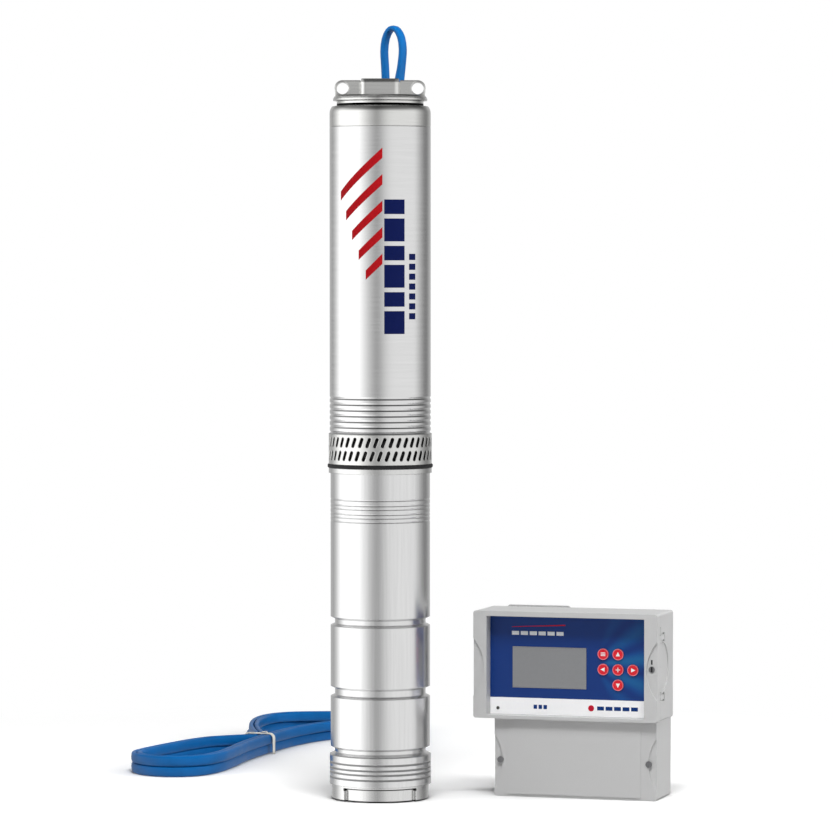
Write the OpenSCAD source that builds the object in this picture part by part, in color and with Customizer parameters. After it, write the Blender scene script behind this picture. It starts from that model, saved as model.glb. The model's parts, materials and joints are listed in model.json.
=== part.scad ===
// Solar borehole pump set: a four-inch submersible pump with its flat lead, and its solar controller.
// Millimetres, +Z up. The origin is the centre of the pump's bottom face.

/* [Placement] */
// Turn of the pump and its lead about the pump's axis, degrees
pump_turn = 17; // [0:1:30]
// Left side of the controller, from the pump's axis
ctrl_x = 81.4; // [75:0.1:140]
// Front of the controller's door, behind the pump's axis
ctrl_y = 43.65; // [20:0.05:90]

/* [Motor] */
// Diameter of the end cap
cap_d = 94; // [92:0.5:96]
// Height of the end cap's foot
cap_h = 15; // [12:0.5:20]
// Depth of the two windows in the end cap's foot
cap_window_t = 3.2; // [1:0.1:3.5]
// Height of those windows
cap_window_h = 13; // [8:0.5:14]
// Height and depth of the undercut along a window's top
cap_undercut = 1.2; // [0.6:0.1:1.4]
// Half angle of each window in the end cap's foot, degrees
cap_window_a = 47.8; // [20:0.1:60]
// Outer diameter of the motor can
can_d = 96.5; // [95:0.5:98]
// Wall of the motor can
can_wall = 2; // [1.5:0.1:2.4]
// Length of the motor can
can_h = 302; // [300:1:360]
// Outer diameter of the reinforced band at the foot of the can
band_d = 98.6; // [97:0.1:99.5]
// Height of the reinforced band
band_h = 28.5; // [25:0.5:28.5]
// Heights of the fine grooves in the band, above the can's lower edge
band_groove_z = [7, 12, 16.3, 21.3]; // [4:0.1:24]
// Heights of the rolled grooves, above the can's lower edge
rolled_z = [32.75, 89.85, 158.15]; // [30:0.05:170]
// Widths of the rolled grooves
rolled_w = [7.5, 10.1, 8.5]; // [6:0.1:11]
// Depth of the rolled grooves
rolled_t = 4.2; // [2:0.1:4.4]
// Heights of the crimp lines below the flange, from the can's lower edge
crimp_z = [255.7, 259.7, 263.2, 268.1, 271.6, 276.6]; // [250:0.1:285]
// Depth of the crimp lines
crimp_t = 0.45; // [0.2:0.05:0.8]
// Diameter of the motor's top flange
flange_d = 100; // [98:0.5:101]
// Thickness of the motor's top flange
flange_h = 5; // [4:0.5:8]
// Diameter of the pilot on the flange (87.3 on a four-inch motor)
pilot_d = 87.3; // [86:0.1:88]
// Bolt circle of the flange studs (76.2 on a four-inch motor)
stud_circle_d = 76.2; // [72:0.1:78]
// Diameter of the flange studs
stud_d = 8; // [6:0.5:9]
// Diameter of the rotor shaft
rotor_shaft_d = 18; // [15:0.5:20]
// Diameter of the rotor shaft's output end
output_d = 14; // [12:0.5:14.5]
// Outer diameter of the bearing rings
bearing_d = 40; // [36:0.5:42]
// Length of the stator stack
stator_h = 78; // [60:1:80]
// Outer diameter of the rotor with its magnets
rotor_d = 50; // [44:0.5:54]
// Air gap between rotor and stator
air_gap = 0.5; // [0.3:0.1:1]

/* [Pump] */
// Outer diameter of the rubber ring over the flange joint
rubber_d = 102.2; // [101.2:0.1:103]
// Height of the rubber ring
rubber_h = 3.6; // [3:0.1:6]
// Outer diameter of the suction strainer
strainer_d = 100; // [99:0.5:101]
// Sheet thickness of the strainer
strainer_wall = 1.2; // [0.8:0.1:1.5]
// Height of the strainer
strainer_h = 29.4; // [28:0.1:40]
// Slots around the strainer in each of its two rows
slot_count = 42; // [24:1:44]
// Width of a strainer slot
slot_w = 3.3; // [2:0.1:3.4]
// Length of a strainer slot
slot_len = 10.1; // [8:0.1:11]
// Lean of the strainer slots, degrees
slot_lean = 20; // [0:1:25]
// Heights of the two rows of slots above the strainer's lower edge
slot_row_z = [8.9, 21.9]; // [7:0.1:23]
// Outer diameter of the stage casing
sleeve_d = 98; // [96:0.5:99]
// Wall of the stage casing
sleeve_wall = 2; // [1.5:0.1:2.5]
// Length of the stage casing
sleeve_h = 296.7; // [240:0.1:500]
// Rolled ribs at the lower end of the casing: number of grooves
rib_count = 7; // [3:1:8]
// Rolled ribs: pitch
rib_pitch = 5.5; // [4.5:0.1:6]
// Rolled ribs: groove depth
rib_t = 0.8; // [0.4:0.1:1]
// Rolled ribs: groove width
rib_w = 3.1; // [2.9:0.1:3.4]
// Height of each sloped flank of those grooves
rib_flank = 1.4; // [0.6:0.1:1.4]
// Height of one stage
stage_h = 25; // [23:0.5:35]
// Vanes in each impeller
vane_count = 5; // [3:1:7]
// Diameter of the impellers
impeller_d = 76; // [66:1:80]
// Diameter of the pump shaft
shaft_d = 12; // [10:0.5:13]
// Radial running clearance of the bushes and the valve stem
run_gap = 0.05; // [0.02:0.01:0.1]

/* [Outlet head] */
// Height of the head's plain skirt
skirt_h = 13; // [8:0.5:20]
// Height from the head's lower edge to its deck
head_h = 30.3; // [26:0.1:40]
// Diameter of the head's upper collar
collar_d = 91.2; // [88:0.1:94]
// Height of that collar
collar_h = 5; // [4:0.1:6]
// Diameter of the neck below the collar
neck_d = 84; // [80:0.5:90]
// Wrench size of the square outlet boss
boss_af = 38.2; // [37.6:0.1:42]
// Corner radius of the outlet boss
boss_r = 5; // [3:0.5:7]
// Height of the outlet boss
boss_h = 16; // [12:0.5:24]
// Height of the slope round the boss's top edge
boss_slope_h = 3.5; // [1:0.5:5]
// Set-in of that slope
boss_slope_in = 1.2; // [0.4:0.1:1.4]
// Core diameter of the outlet thread (G 1)
outlet_d = 31.9; // [30:0.1:34]
// Depth of the outlet thread
outlet_depth = 26; // [20:0.5:28]
// Lift of the check valve
valve_lift = 8; // [4:0.5:9]
// Diameter of the valve stem
stem_d = 6; // [5:0.5:7]
// Diameter of the rope eyes' holes
eye_d = 11.8; // [8:0.1:12.5]
// Distance of the rope eyes from the pump's axis
eye_x = 36.4; // [35.5:0.1:37]
// Height of the rope eyes above the head's deck
eye_z = 6.9; // [6.5:0.1:9]
// Wall of the rope eyes around their holes
eye_wall = 1.7; // [1.2:0.1:2.5]
// Thickness of the rope eyes
eye_t = 24; // [12:0.5:26]

/* [Lead] */
// Width of the flat lead
lead_w = 10.5; // [9:0.1:11]
// Thickness of the flat lead
lead_t = 5.5; // [4.5:0.1:6]
// Place of the cable guard around the pump, degrees from the pump's own X
guard_a = 73; // [70:1:76]
// Sheet thickness of the cable guard
guard_wall = 1.2; // [0.8:0.1:1.5]
// Width of the guard's fixing flange on each side
guard_flange = 5.5; // [5:0.1:8]
// Clearance around the lead inside its guard
lead_gap = 0.4; // [0.2:0.1:0.6]
// Width of the hank's tie
tie_w = 3.6; // [2:0.1:6]

/* [Controller] */
// Width of the controller
ctrl_w = 184.6; // [180:0.1:220]
// Depth of the controller with its wall bracket
ctrl_d = 68; // [64:0.5:100]
// Height of the controller's housing
ctrl_h = 181.2; // [178:0.1:240]
// Wall of the housing
wall = 3; // [2:0.1:3.5]
// Thickness of the door
door_t = 15; // [14:0.5:18]
// Height of the terminal section below the door
step_z = 76.4; // [70:0.1:80]
// Radius of the round hollows beside the door and the terminal section
scoop_r = 43; // [40:0.5:46]
// Depth of those hollows
scoop_in = 1.6; // [0.6:0.1:1.8]
// Reach of the door's hollows from its sides
scoop_reach = 10.6; // [9:0.1:11]
// Reach of the terminal section's hollows from its sides
low_scoop = 8; // [7:0.1:9]
// Radius of the round hollows in the housing's sides
side_r = 24; // [22:0.1:27]
// Depth of those hollows' middle behind the door's front
side_v = 22; // [19:0.5:26]
// Height of those hollows' middle above the step
side_z = 52.5; // [50:0.5:56]
// Sink of those hollows
side_in = 1; // [0.5:0.1:1.2]
// Sink of the latch slots in the housing's sides
slot_in = 1.8; // [1:0.1:1.9]
// Distance between the two latches on a side
latch_pitch = 58.2; // [56:0.1:62]
// Length of the latches' tongues
tongue_l = 13; // [10:0.5:15]
// Width of the latches' tongues
tongue_w = 4.6; // [4:0.1:6]
// Width of the slot round each tongue
tongue_gap = 2; // [1:0.1:2.5]
// Set-in of the terminal section on the left
step_left = 20; // [12:0.5:22]
// Set-in of the terminal section on the right
step_right = 2.1; // [0.5:0.1:4]
// Set-back of the terminal cover behind the door's face
step_front = 5.5; // [3:0.1:7]
// Gap between the door and the housing
door_gap = 0.3; // [0.2:0.05:0.5]
// Corner radius of the door and the housing
corner_r = 2.5; // [2:0.1:5]
// Corner radius at the foot of the terminal section
foot_r = 3; // [2:0.5:9]
// Margin of the door's window on the left
window_left = 13.4; // [13:0.1:16]
// Margin of the door's window on the right
window_right = 12.8; // [12.4:0.1:16]
// Margin of the door's window above
window_top = 4.9; // [4:0.1:8]
// Margin of the door's window below
window_bottom = 3; // [2:0.1:6]
// Thickness of the door's panel behind the window
floor_t = 1.5; // [1.2:0.1:2]
// Hinge axis: distance from the door's left side
hinge_u = 5; // [4.8:0.1:6]
// Hinge axis: distance from the door's front
hinge_v = 9; // [8:0.1:9.2]
// Diameter of the hinge pins
hinge_pin_d = 3; // [2:0.1:3.4]
// Heights of the two hinges above the foot of the door
hinge_z = [24.6, 87.6]; // [20:0.1:90]
// Lock: distance from the door's right side
lock_right = 5.6; // [5.4:0.1:6]
// Lock: height above the foot of the door
lock_z = 51.6; // [48:0.1:56]
// Diameter of the lock
lock_d = 6; // [5:0.1:6]
// Width of the display glass
lcd_w = 74.2; // [60:0.1:76]
// Height of the display glass
lcd_h = 40; // [30:0.1:44]
// Centre of the display, right of the middle between the window's edge and the keys
lcd_u = 5.625; // [3:0.125:7]
// Centre of the display above the foot of the door
lcd_z = 49.6; // [46:0.1:54]
// Diameter of the keys
key_d = 10.7; // [9:0.1:11.5]
// Pitch of the keys
key_pitch = 14.9; // [13.5:0.1:15.5]
// Middle key from the door's right side
key_u = 42; // [40:0.1:44]
// Middle key above the foot of the door
key_z = 49.4; // [47:0.1:52]
// Travel of the keys
key_travel = 0.8; // [0.4:0.1:1]
// Clearance around a key
key_gap = 0.3; // [0.2:0.05:0.5]
// Margin of the terminal cover's centre panel on the left
panel_left = 13.8; // [12:0.1:20]
// Margin of the terminal cover's centre panel on the right
panel_right = 15.3; // [12:0.1:20]
// Cover screws from the left and the right side of the terminal section
cover_screw_u = [5.9, 7.6]; // [5.5:0.1:9]
// Height of the cover screws
cover_screw_z = 35.5; // [25:0.5:45]
// Width of the heatsink
heatsink_w = 66; // [50:1:70]
// Distance of the heatsink from the housing's right side
heatsink_in = 8.6; // [7:0.1:12]
// Thickness of the heatsink's fins
heatsink_fin = 2; // [1:0.1:3]
// Pitch of the heatsink's fins
heatsink_pitch = 7.5; // [5:0.1:10]
// Left edge of the control board from the housing's left side
board_u = 14; // [10:0.5:18]
// Distances of the terminal block from the sides of the terminal section
terminal_in = [16, 16.5]; // [14:0.5:20]
// Foot of the terminal block
terminal_z = 38; // [34:0.5:42]
// Height of the terminal block
terminal_h = 16; // [12:0.5:18]
// Pitch of the terminal screws
terminal_pitch = 13.5; // [10:0.5:16]
// Radius of the terminal screws
terminal_screw_r = 3.2; // [2:0.1:4]
// Thickness of the wall bracket
bracket_t = 3; // [2:0.1:4]
// Spacing of the bracket's wall holes, across
bracket_pitch_u = 100; // [80:1:110]
// Spacing of the bracket's wall holes, up
bracket_pitch_z = 120; // [90:1:130]
// Diameter of the bracket's wall holes
bracket_hole_d = 5.5; // [4:0.1:7]

/* [Hidden] */
$fn = 72;
eps = 0.01;

// Heights of the pump's joints, from the bottom up
z_can = cap_h;
z_flange = z_can + can_h;
z_rubber = z_flange + flange_h;
z_strainer = z_rubber + rubber_h;
z_sleeve = z_strainer + strainer_h;
z_head = z_sleeve + sleeve_h;
z_deck = z_head + head_h;
z_top = z_deck + boss_h;

// Motor, derived
can_r = can_d / 2;
can_ri = can_r - can_wall;
cup_r = cap_d / 2 - cap_window_t - 2;
spigot_h = 20;
bearing_h = 14;
seal_h = 9;
pilot_h = 3;
core_r = can_ri;
rotor_r = rotor_d / 2;
stator_ri = rotor_r + air_gap;
z_core = z_can + rolled_z[2] + rolled_w[2] / 2 + 6;
z_core_top = z_core + stator_h;
z_carrier = z_can + rolled_z[1] + rolled_w[1] / 2 + 16;
carrier_h = 26;
z_output = z_rubber + 14;
z_coupling = z_rubber + 5;
coupling_h = 20;

// Pump, derived
sleeve_r = sleeve_d / 2;
sleeve_ri = sleeve_r - sleeve_wall;
bracket_low_h = 8;
bracket_top_z = z_sleeve - 2;
bracket_spigot = 9;
z_stage = z_sleeve + bracket_spigot;
head_spigot = 14;
seat_h = 4;
z_seat = z_head - head_spigot - seat_h;
stage_count = floor((z_seat - 15 - z_stage) / stage_h);
z_plate = z_stage + stage_count * stage_h;
hub_h = 16;
bush_wall = 3;
impeller_r = impeller_d / 2;
eye_gap = 0.3;
seat_r = 15;
seat_lip = 2;
z_poppet = z_seat + seat_h + seat_lip + 0.3;
poppet_h = 4;
poppet_r = seat_r + 3.5;
guide_h = 4;
z_guide = z_top - outlet_depth - guide_h;
z_hub = z_poppet + poppet_h + valve_lift + 12;
stem_len = z_guide + guide_h - z_poppet;
guide_r = outlet_d / 2 - 0.8;
spring_turns = 6;
spring_r = stem_d / 2 + 2;
spring_wire = 1;

// Lead and guard, derived
lead_y = rubber_d / 2 + 0.3;
lead_mid = lead_y + lead_t / 2;
guard_in = lead_w / 2 + lead_gap + 0.6;
guard_out = guard_in + guard_wall;
guard_depth = lead_y + lead_t + lead_gap;
guard_z0 = z_strainer + 4;
guard_z1 = z_head + skirt_h;
guard_screw_z = [z_sleeve + 50, z_head - 12];
guard_screw_a = asin((guard_out + guard_flange / 2) / sleeve_r);
plug_h = 28;
plug_w = 20;

// Controller, derived
back_v = ctrl_d - bracket_t;
rim_v = door_t + door_gap;
low_u0 = step_left;
low_u1 = ctrl_w - step_right;
screw_places = [low_u0 + cover_screw_u[0], low_u1 - cover_screw_u[1]];
key_mid_u = ctrl_w - key_u;
lcd_mid_u = (window_left + key_mid_u - key_pitch - key_d / 2) / 2 + lcd_u;
heatsink_u = ctrl_w - heatsink_w - heatsink_in;
board_w = heatsink_u - 20;
terminal_u = low_u0 + terminal_in[0];
terminal_w = low_u1 - terminal_in[1] - terminal_u;
window_u0 = window_left;
window_u1 = ctrl_w - window_right;
window_z0 = step_z + window_bottom;
window_z1 = ctrl_h - window_top;
floor_v = door_t - floor_t;
panel_t = 0.5;
hinge_h = 8;
hinge_eye_r = 3.5;
hinge_slot = 0.4;
arm_u = hinge_u + 2;
arm_foot = 8;
gasket_t = 1.5;
screw_boss_r = 4.5;
cover_screw_r = 2;
screw_head_r = 3.1;
screw_head_v = step_front + 1.5;
guard_screw_r = 1.5;
knockout_r = 10;
knockout_pitch = 50;
knockout_v = back_v - 22;
lock_u = ctrl_w - lock_right;
lock_spindle_r = 1.5;
slot_half = lock_spindle_r + 0.8;
keeper_v = door_t + 2;
keeper_t = 2.5;
bit_len = 8;
bit_t = 2;
key_flange = 0.9;
key_flange_t = 0.8;
key_proud = 1.6;
board_v = door_t + key_gap + key_flange_t + key_travel + 2.1;
boss_d = 9;
cover_v0 = step_front;
low_top = step_z - 0.5;

// ---------------------------------------------------------------- helpers

// Turns its children with the pump
module pump() {
    rotate([0, 0, pump_turn]) children();
}

// Puts +Y at the cable guard
module at_guard() {
    pump() rotate([0, 0, guard_a - 90]) children();
}

// A ring about Z between two heights
module ring(ro, ri, z0, z1) {
    translate([0, 0, z0]) difference() {
        cylinder(r = ro, h = z1 - z0);
        translate([0, 0, -1]) cylinder(r = ri, h = z1 - z0 + 2);
    }
}

// Copies its children around Z
module around(n, start = 0) {
    for (i = [0 : n - 1]) rotate([0, 0, start + i * 360 / n]) children();
}

// A trapezoid notch in an outline that runs upward at radius r
function notch(r, zc, w, t, flank) = [
    [r, zc - w / 2], [r - t, zc - w / 2 + flank], [r - t, zc + w / 2 - flank], [r, zc + w / 2]
];

// Joins a list of point lists
function joined(lists) = [for (l = lists) for (p = l) p];

// Points of an arc in an outline
function arc(cx, cy, r, a0, a1, n = 8) = [
    for (i = [0 : n]) let (a = a0 + (a1 - a0) * i / n) [cx + r * cos(a), cy + r * sin(a)]
];

// Puts the controller's frame at its place: u to the right, v to the back
module controller() {
    translate([ctrl_x, ctrl_y, 0]) children();
}

// Extrudes an outline in u and z from depth v0 to depth v1
module slab(v0, v1) {
    translate([0, v1, 0]) rotate([90, 0, 0]) linear_extrude(v1 - v0) children();
}

// A round rod along v
module rod(u, z, r, v0, v1) {
    translate([u, v1, z]) rotate([90, 0, 0]) cylinder(r = r, h = v1 - v0);
}

// A rectangle from its corners
module rect(x0, x1, z0, z1) {
    translate([x0, z0]) square([x1 - x0, z1 - z0]);
}

// A rectangle with rounded corners
module round_rect(x0, x1, z0, z1, r) {
    rect(x0 + r, x1 - r, z0, z1);
    rect(x0, x1, z0 + r, z1 - r);
    for (x = [x0 + r, x1 - r]) for (z = [z0 + r, z1 - r]) translate([x, z]) circle(r = r);
}

// ---------------------------------------------------------------- motor

module end_cap() {
    color("silver") pump() difference() {
        union() {
            rotate_extrude() polygon([
                [0, 0], [cap_d / 2 - 1.5, 0], [cap_d / 2, 1.5], [cap_d / 2, cap_h],
                [can_ri, cap_h], [can_ri, cap_h + 6], [0, cap_h + 6]
            ]);
        }
        translate([0, 0, 3]) cylinder(r = cup_r, h = cap_h + 6);
        for (side = [-90, 90]) rotate([0, 0, side]) cap_window();
    }
}

// The shallow window that opens the foot of the end cap, with an undercut along its top
module cap_window() {
    window_r = cap_d / 2 - cap_window_t;
    cut_z = cap_window_h - cap_undercut;
    translate([0, 0, -1]) cap_sector(window_r, cap_window_h + 1);
    translate([0, 0, cut_z]) cap_sector(window_r - cap_undercut, cap_undercut);
    for (a = [-cap_window_a, cap_window_a]) rotate([0, 0, a]) translate([cup_r - 1, 0, cut_z])
        rotate([0, 90, 0]) cylinder(r = cap_undercut, h = cap_d, $fn = 24);
}

// What lies outside a radius, between the window's sides
module cap_sector(inner_r, height) {
    reach = cap_d;
    difference() {
        linear_extrude(height) polygon([
            [0, 0],
            [reach * cos(cap_window_a), -reach * sin(cap_window_a)],
            [reach * 2, 0],
            [reach * cos(cap_window_a), reach * sin(cap_window_a)]
        ]);
        translate([0, 0, -1]) cylinder(r = inner_r, h = height + 2);
    }
}

module motor_can() {
    band_r = band_d / 2;
    outer = joined([
        [[band_r, z_can]],
        joined([for (z = band_groove_z) notch(band_r, z_can + z, 1.8, 0.7, 0.5)]),
        [[band_r, z_can + band_h], [can_r, z_can + band_h]],
        joined([for (i = [0 : 2]) notch(can_r, z_can + rolled_z[i], rolled_w[i], rolled_t, 2)]),
        joined([for (z = crimp_z) notch(can_r, z_can + z, 1.6, crimp_t, 0.6)]),
        [[can_r, z_flange]]
    ]);
    inner = joined([
        [[can_ri, z_can]],
        joined([for (i = [0 : 2]) notch(can_ri, z_can + rolled_z[i], rolled_w[i] + 2, rolled_t, 2)]),
        [[can_ri, z_flange]]
    ]);
    last = len(inner) - 1;
    color("gainsboro") pump() rotate_extrude() polygon(
        concat(outer, [for (i = [0 : last]) inner[last - i]])
    );
}

module pressure_diaphragm() {
    rim_z = cap_h + 6;
    dome = 7;
    color("dimgray") pump() rotate_extrude() polygon([
        [can_ri, rim_z], [can_ri, rim_z + 3], [cup_r - 4, rim_z + 3], [cup_r - 8, rim_z + dome],
        [0, rim_z + dome], [0, rim_z + dome - 2], [cup_r - 9, rim_z + dome - 2], [cup_r - 5, rim_z]
    ]);
}

module thrust_pads() {
    color("darkgoldenrod") pump() {
        ring(can_ri - 5, rotor_shaft_d / 2 + 1, z_carrier - 13, z_carrier - 9);
        around(6) intersection() {
            ring(bearing_d / 2 + 5, rotor_shaft_d / 2 + 4, z_carrier - 9, z_carrier - 6.3);
            translate([bearing_d / 2, 0, z_carrier - 7]) cube([bearing_d, 11, 10], center = true);
        }
    }
}

module thrust_runner() {
    color("silver") pump() ring(bearing_d / 2 + 5, rotor_shaft_d / 2, z_carrier - 6, z_carrier - 0.5);
}

module bearing_carrier() {
    color("lightgray") pump() {
        difference() {
            union() {
                ring(can_ri, can_ri - 5, z_carrier - 13, z_carrier + carrier_h);
                ring(can_ri - 5 + eps, bearing_d / 2, z_carrier + 4, z_carrier + 10);
                ring(bearing_d / 2 + 4, bearing_d / 2, z_carrier + 1, z_carrier + bearing_h);
            }
            around(6) translate([can_ri - 14, 0, z_carrier]) cylinder(r = 4, h = carrier_h);
            rolled_clear(1);
            rolled_clear(2);
        }
    }
}

// The room that a rolled groove of the can takes inside it
module rolled_clear(i) {
    zc = z_can + rolled_z[i];
    h = rolled_w[i] + 2;
    ring(can_ri + 1, can_ri - rolled_t, zc - h / 2, zc + h / 2);
}

module motor_bearings() {
    color("steelblue") pump() for (z0 = [z_carrier + 1, z_flange - spigot_h])
        ring(bearing_d / 2, rotor_shaft_d / 2 + run_gap, z0, z0 + bearing_h - (z0 < z_flange / 2 ? 1 : 0));
}

module stator_core() {
    color("slategray") pump() difference() {
        ring(core_r, stator_ri, z_core, z_core_top);
        around(12) translate([stator_ri + 6, 0, z_core - 1]) cylinder(r = 3, h = stator_h + 2);
    }
}

module stator_windings() {
    color("peru") pump() for (z0 = [z_core - 12, z_core_top])
        ring(core_r - rolled_t - 3, stator_ri + 2, z0, z0 + 12);
}

module rotor_core() {
    color("slategray") pump() ring(rotor_r - 3, rotor_shaft_d / 2, z_core, z_core_top);
}

module rotor_magnets() {
    color("dimgray") pump() around(8) intersection() {
        ring(rotor_r, rotor_r - 3, z_core, z_core_top);
        translate([0, -7.8 * rotor_d / 50, z_core]) cube([rotor_d, 15.6 * rotor_d / 50, stator_h]);
    }
}

module rotor_shaft() {
    color("silver") pump() {
        translate([0, 0, z_carrier - 6]) cylinder(r = rotor_shaft_d / 2, h = z_rubber - 4 - z_carrier + 6);
        translate([0, 0, z_rubber - 4]) cylinder(r = output_d / 2, h = z_output - z_rubber + 4);
    }
}

module motor_flange() {
    color("silver") pump() difference() {
        union() {
            translate([0, 0, z_flange - spigot_h]) cylinder(r = can_ri, h = spigot_h + 1);
            translate([0, 0, z_flange]) cylinder(r = flange_d / 2, h = flange_h);
            translate([0, 0, z_rubber - 1]) cylinder(r = pilot_d / 2, h = pilot_h + 1);
        }
        translate([0, 0, z_flange - spigot_h - 1]) cylinder(r = bearing_d / 2, h = bearing_h + 1);
        translate([0, 0, z_flange - spigot_h]) cylinder(r = rotor_shaft_d / 2 + 0.5, h = 60);
        translate([0, 0, z_rubber + pilot_h - seal_h]) cylinder(r = 15, h = seal_h + 1);
        around(4, 45) translate([stud_circle_d / 2, 0, z_flange - 8]) cylinder(r = stud_d / 2, h = 30);
    }
}

module shaft_seal() {
    color("dimgray") pump()
        ring(15, rotor_shaft_d / 2 + 0.3, z_rubber + pilot_h - seal_h, z_rubber + pilot_h - 1);
}

module flange_fasteners() {
    stud_z = z_flange - 8;
    nut_z = z_rubber + bracket_low_h;
    color("silver") pump() around(4, 45) translate([stud_circle_d / 2, 0, 0]) {
        translate([0, 0, stud_z]) cylinder(r = stud_d / 2, h = nut_z + 8 - stud_z);
        translate([0, 0, nut_z]) difference() {
            cylinder(r = stud_d * 0.83, h = 6, $fn = 6);
            translate([0, 0, -1]) cylinder(r = stud_d / 2, h = 8);
        }
    }
}

// ---------------------------------------------------------------- suction end

module rubber_ring() {
    inner_r = pilot_d / 2 + 2.35;
    color("black") pump() rotate_extrude() polygon(joined([
        [[inner_r, z_rubber], [rubber_d / 2 - 0.8, z_rubber]],
        [[rubber_d / 2, z_rubber + 0.8], [rubber_d / 2, z_strainer - 0.8]],
        [[rubber_d / 2 - 0.8, z_strainer], [inner_r, z_strainer]]
    ]));
}

module suction_bracket() {
    low_r = pilot_d / 2 + 2.35;
    top_r = strainer_d / 2 - strainer_wall;
    color("lightgray") pump() difference() {
        union() {
            ring(low_r, pilot_d / 2, z_rubber, z_rubber + pilot_h);
            ring(low_r, output_d / 2 + 7, z_rubber + pilot_h, z_rubber + bracket_low_h);
            ring(top_r, seat_r + 2, bracket_top_z, z_sleeve);
            ring(sleeve_ri, seat_r + 2, z_sleeve - eps, z_stage);
            around(4) translate([low_r - 7, 0, z_rubber + bracket_low_h - 1])
                cylinder(r = 5, h = bracket_top_z - z_rubber - bracket_low_h + 2);
        }
        around(4, 45) translate([stud_circle_d / 2, 0, z_rubber - 1]) cylinder(r = stud_d / 2, h = 12);
    }
}

module suction_strainer() {
    color("silver") pump() difference() {
        ring(strainer_d / 2, strainer_d / 2 - strainer_wall, z_strainer, z_sleeve);
        for (row = [0 : 1]) around(slot_count, row * 180 / slot_count - 90)
            translate([strainer_d / 2 - 5, 0, z_strainer + slot_row_z[row]]) strainer_slot();
    }
}

// One leaning slot, cut outward along X
module strainer_slot() {
    straight = slot_len - slot_w;
    rotate([90, 0, 90]) rotate([0, 0, -slot_lean]) linear_extrude(8) {
        square([slot_w, straight], center = true);
        for (end = [-1, 1]) translate([0, end * straight / 2]) circle(r = slot_w / 2, $fn = 24);
    }
}

module shaft_coupling() {
    color("silver") pump() {
        ring(output_d / 2 + 5, output_d / 2, z_coupling, z_output);
        ring(output_d / 2 + 5, shaft_d / 2, z_output, z_coupling + coupling_h);
    }
}

// ---------------------------------------------------------------- pump stages

module pump_shaft() {
    color("silver") pump() translate([0, 0, z_output + 0.5])
        cylinder(r = shaft_d / 2, h = z_plate + hub_h + 1 - z_output - 0.5);
}

module diffusers() {
    color("ivory") pump() for (i = [0 : stage_count - 1]) translate([0, 0, z_stage + i * stage_h])
        diffuser();
}

// One stage's cup, its return plate and vanes
module diffuser() {
    rim_ri = sleeve_ri - 3;
    hub_r = shaft_d / 2 + bush_wall + 0.4;
    ring(sleeve_ri, rim_ri, 0, stage_h - 0.05);
    ring(rim_ri + eps, seat_r + 2, 0, 2.5);
    ring(impeller_r, hub_r, stage_h - 8, stage_h - 6);
    around(6) translate([hub_r + 3, -1, stage_h - 6 - eps]) cube([rim_ri - hub_r - 2.5, 2, 5.95 + eps]);
}

module impellers() {
    color("khaki") pump() for (i = [0 : stage_count - 1]) translate([0, 0, z_stage + i * stage_h])
        impeller();
}

// One impeller: eye, front and back shrouds, swept vanes and hub
module impeller() {
    hub_r = shaft_d / 2 + bush_wall;
    eye_r = seat_r + 2 - eye_gap;
    back_z = stage_h - 11;
    ring(eye_r, eye_r - 2, 0.8, 4);
    ring(impeller_r, eye_r - 2, 3.5, 5);
    ring(impeller_r, shaft_d / 2, back_z, back_z + 2);
    ring(hub_r, shaft_d / 2, 3.5, back_z + 4);
    intersection() {
        ring(impeller_r - 0.5, hub_r - 1, 4.5, back_z + 0.5);
        around(vane_count) translate([hub_r - 1, -1, 4]) rotate([0, 0, -32])
            cube([impeller_r + 10, 1.8, back_z - 3]);
    }
}

module bearing_plate() {
    hub_r = shaft_d / 2 + bush_wall + 4;
    color("ivory") pump() difference() {
        union() {
            ring(sleeve_ri, sleeve_ri - 3.5, z_plate, z_seat);
            ring(sleeve_ri - 3.5 + eps, shaft_d / 2 + bush_wall, z_plate, z_plate + 5);
            ring(hub_r, shaft_d / 2 + bush_wall, z_plate, z_plate + hub_h - 2);
        }
        around(6) translate([28, 0, z_plate - 1]) cylinder(r = 7.5, h = 8);
    }
}

module shaft_bush() {
    color("dimgray") pump()
        ring(shaft_d / 2 + bush_wall, shaft_d / 2 + run_gap, z_plate, z_plate + hub_h - 2);
}

module pump_sleeve() {
    outer = joined([
        [[sleeve_r, z_sleeve]],
        joined([for (i = [0 : rib_count - 1])
            notch(sleeve_r, z_sleeve + 1.7 + i * rib_pitch, rib_w, rib_t, rib_flank)]),
        [[sleeve_r, z_head - 0.5], [sleeve_r - 0.4, z_head]]
    ]);
    color("gainsboro") difference() {
        pump() rotate_extrude() polygon(
            concat(outer, [[sleeve_ri, z_head], [sleeve_ri, z_sleeve]])
        );
        at_guard_screws() cylinder(r = guard_screw_r, h = 8, center = true);
    }
}

// Places its children, +Z outward, at the four guard screws
module at_guard_screws() {
    at_guard() for (a = [-guard_screw_a, guard_screw_a]) for (z = guard_screw_z)
        rotate([0, 0, a]) translate([0, sleeve_r, z]) rotate([-90, 0, 0]) children();
}

// ---------------------------------------------------------------- outlet head and check valve

module valve_seat() {
    color("silver") pump() {
        ring(sleeve_ri, seat_r, z_seat, z_seat + seat_h);
        ring(seat_r + 4, seat_r, z_seat + seat_h - eps, z_seat + seat_h + seat_lip);
    }
}

module valve_poppet() {
    color("dimgray") pump() translate([0, 0, z_poppet]) {
        cylinder(r = poppet_r, h = poppet_h);
        cylinder(r = stem_d / 2, h = stem_len);
    }
}

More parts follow.
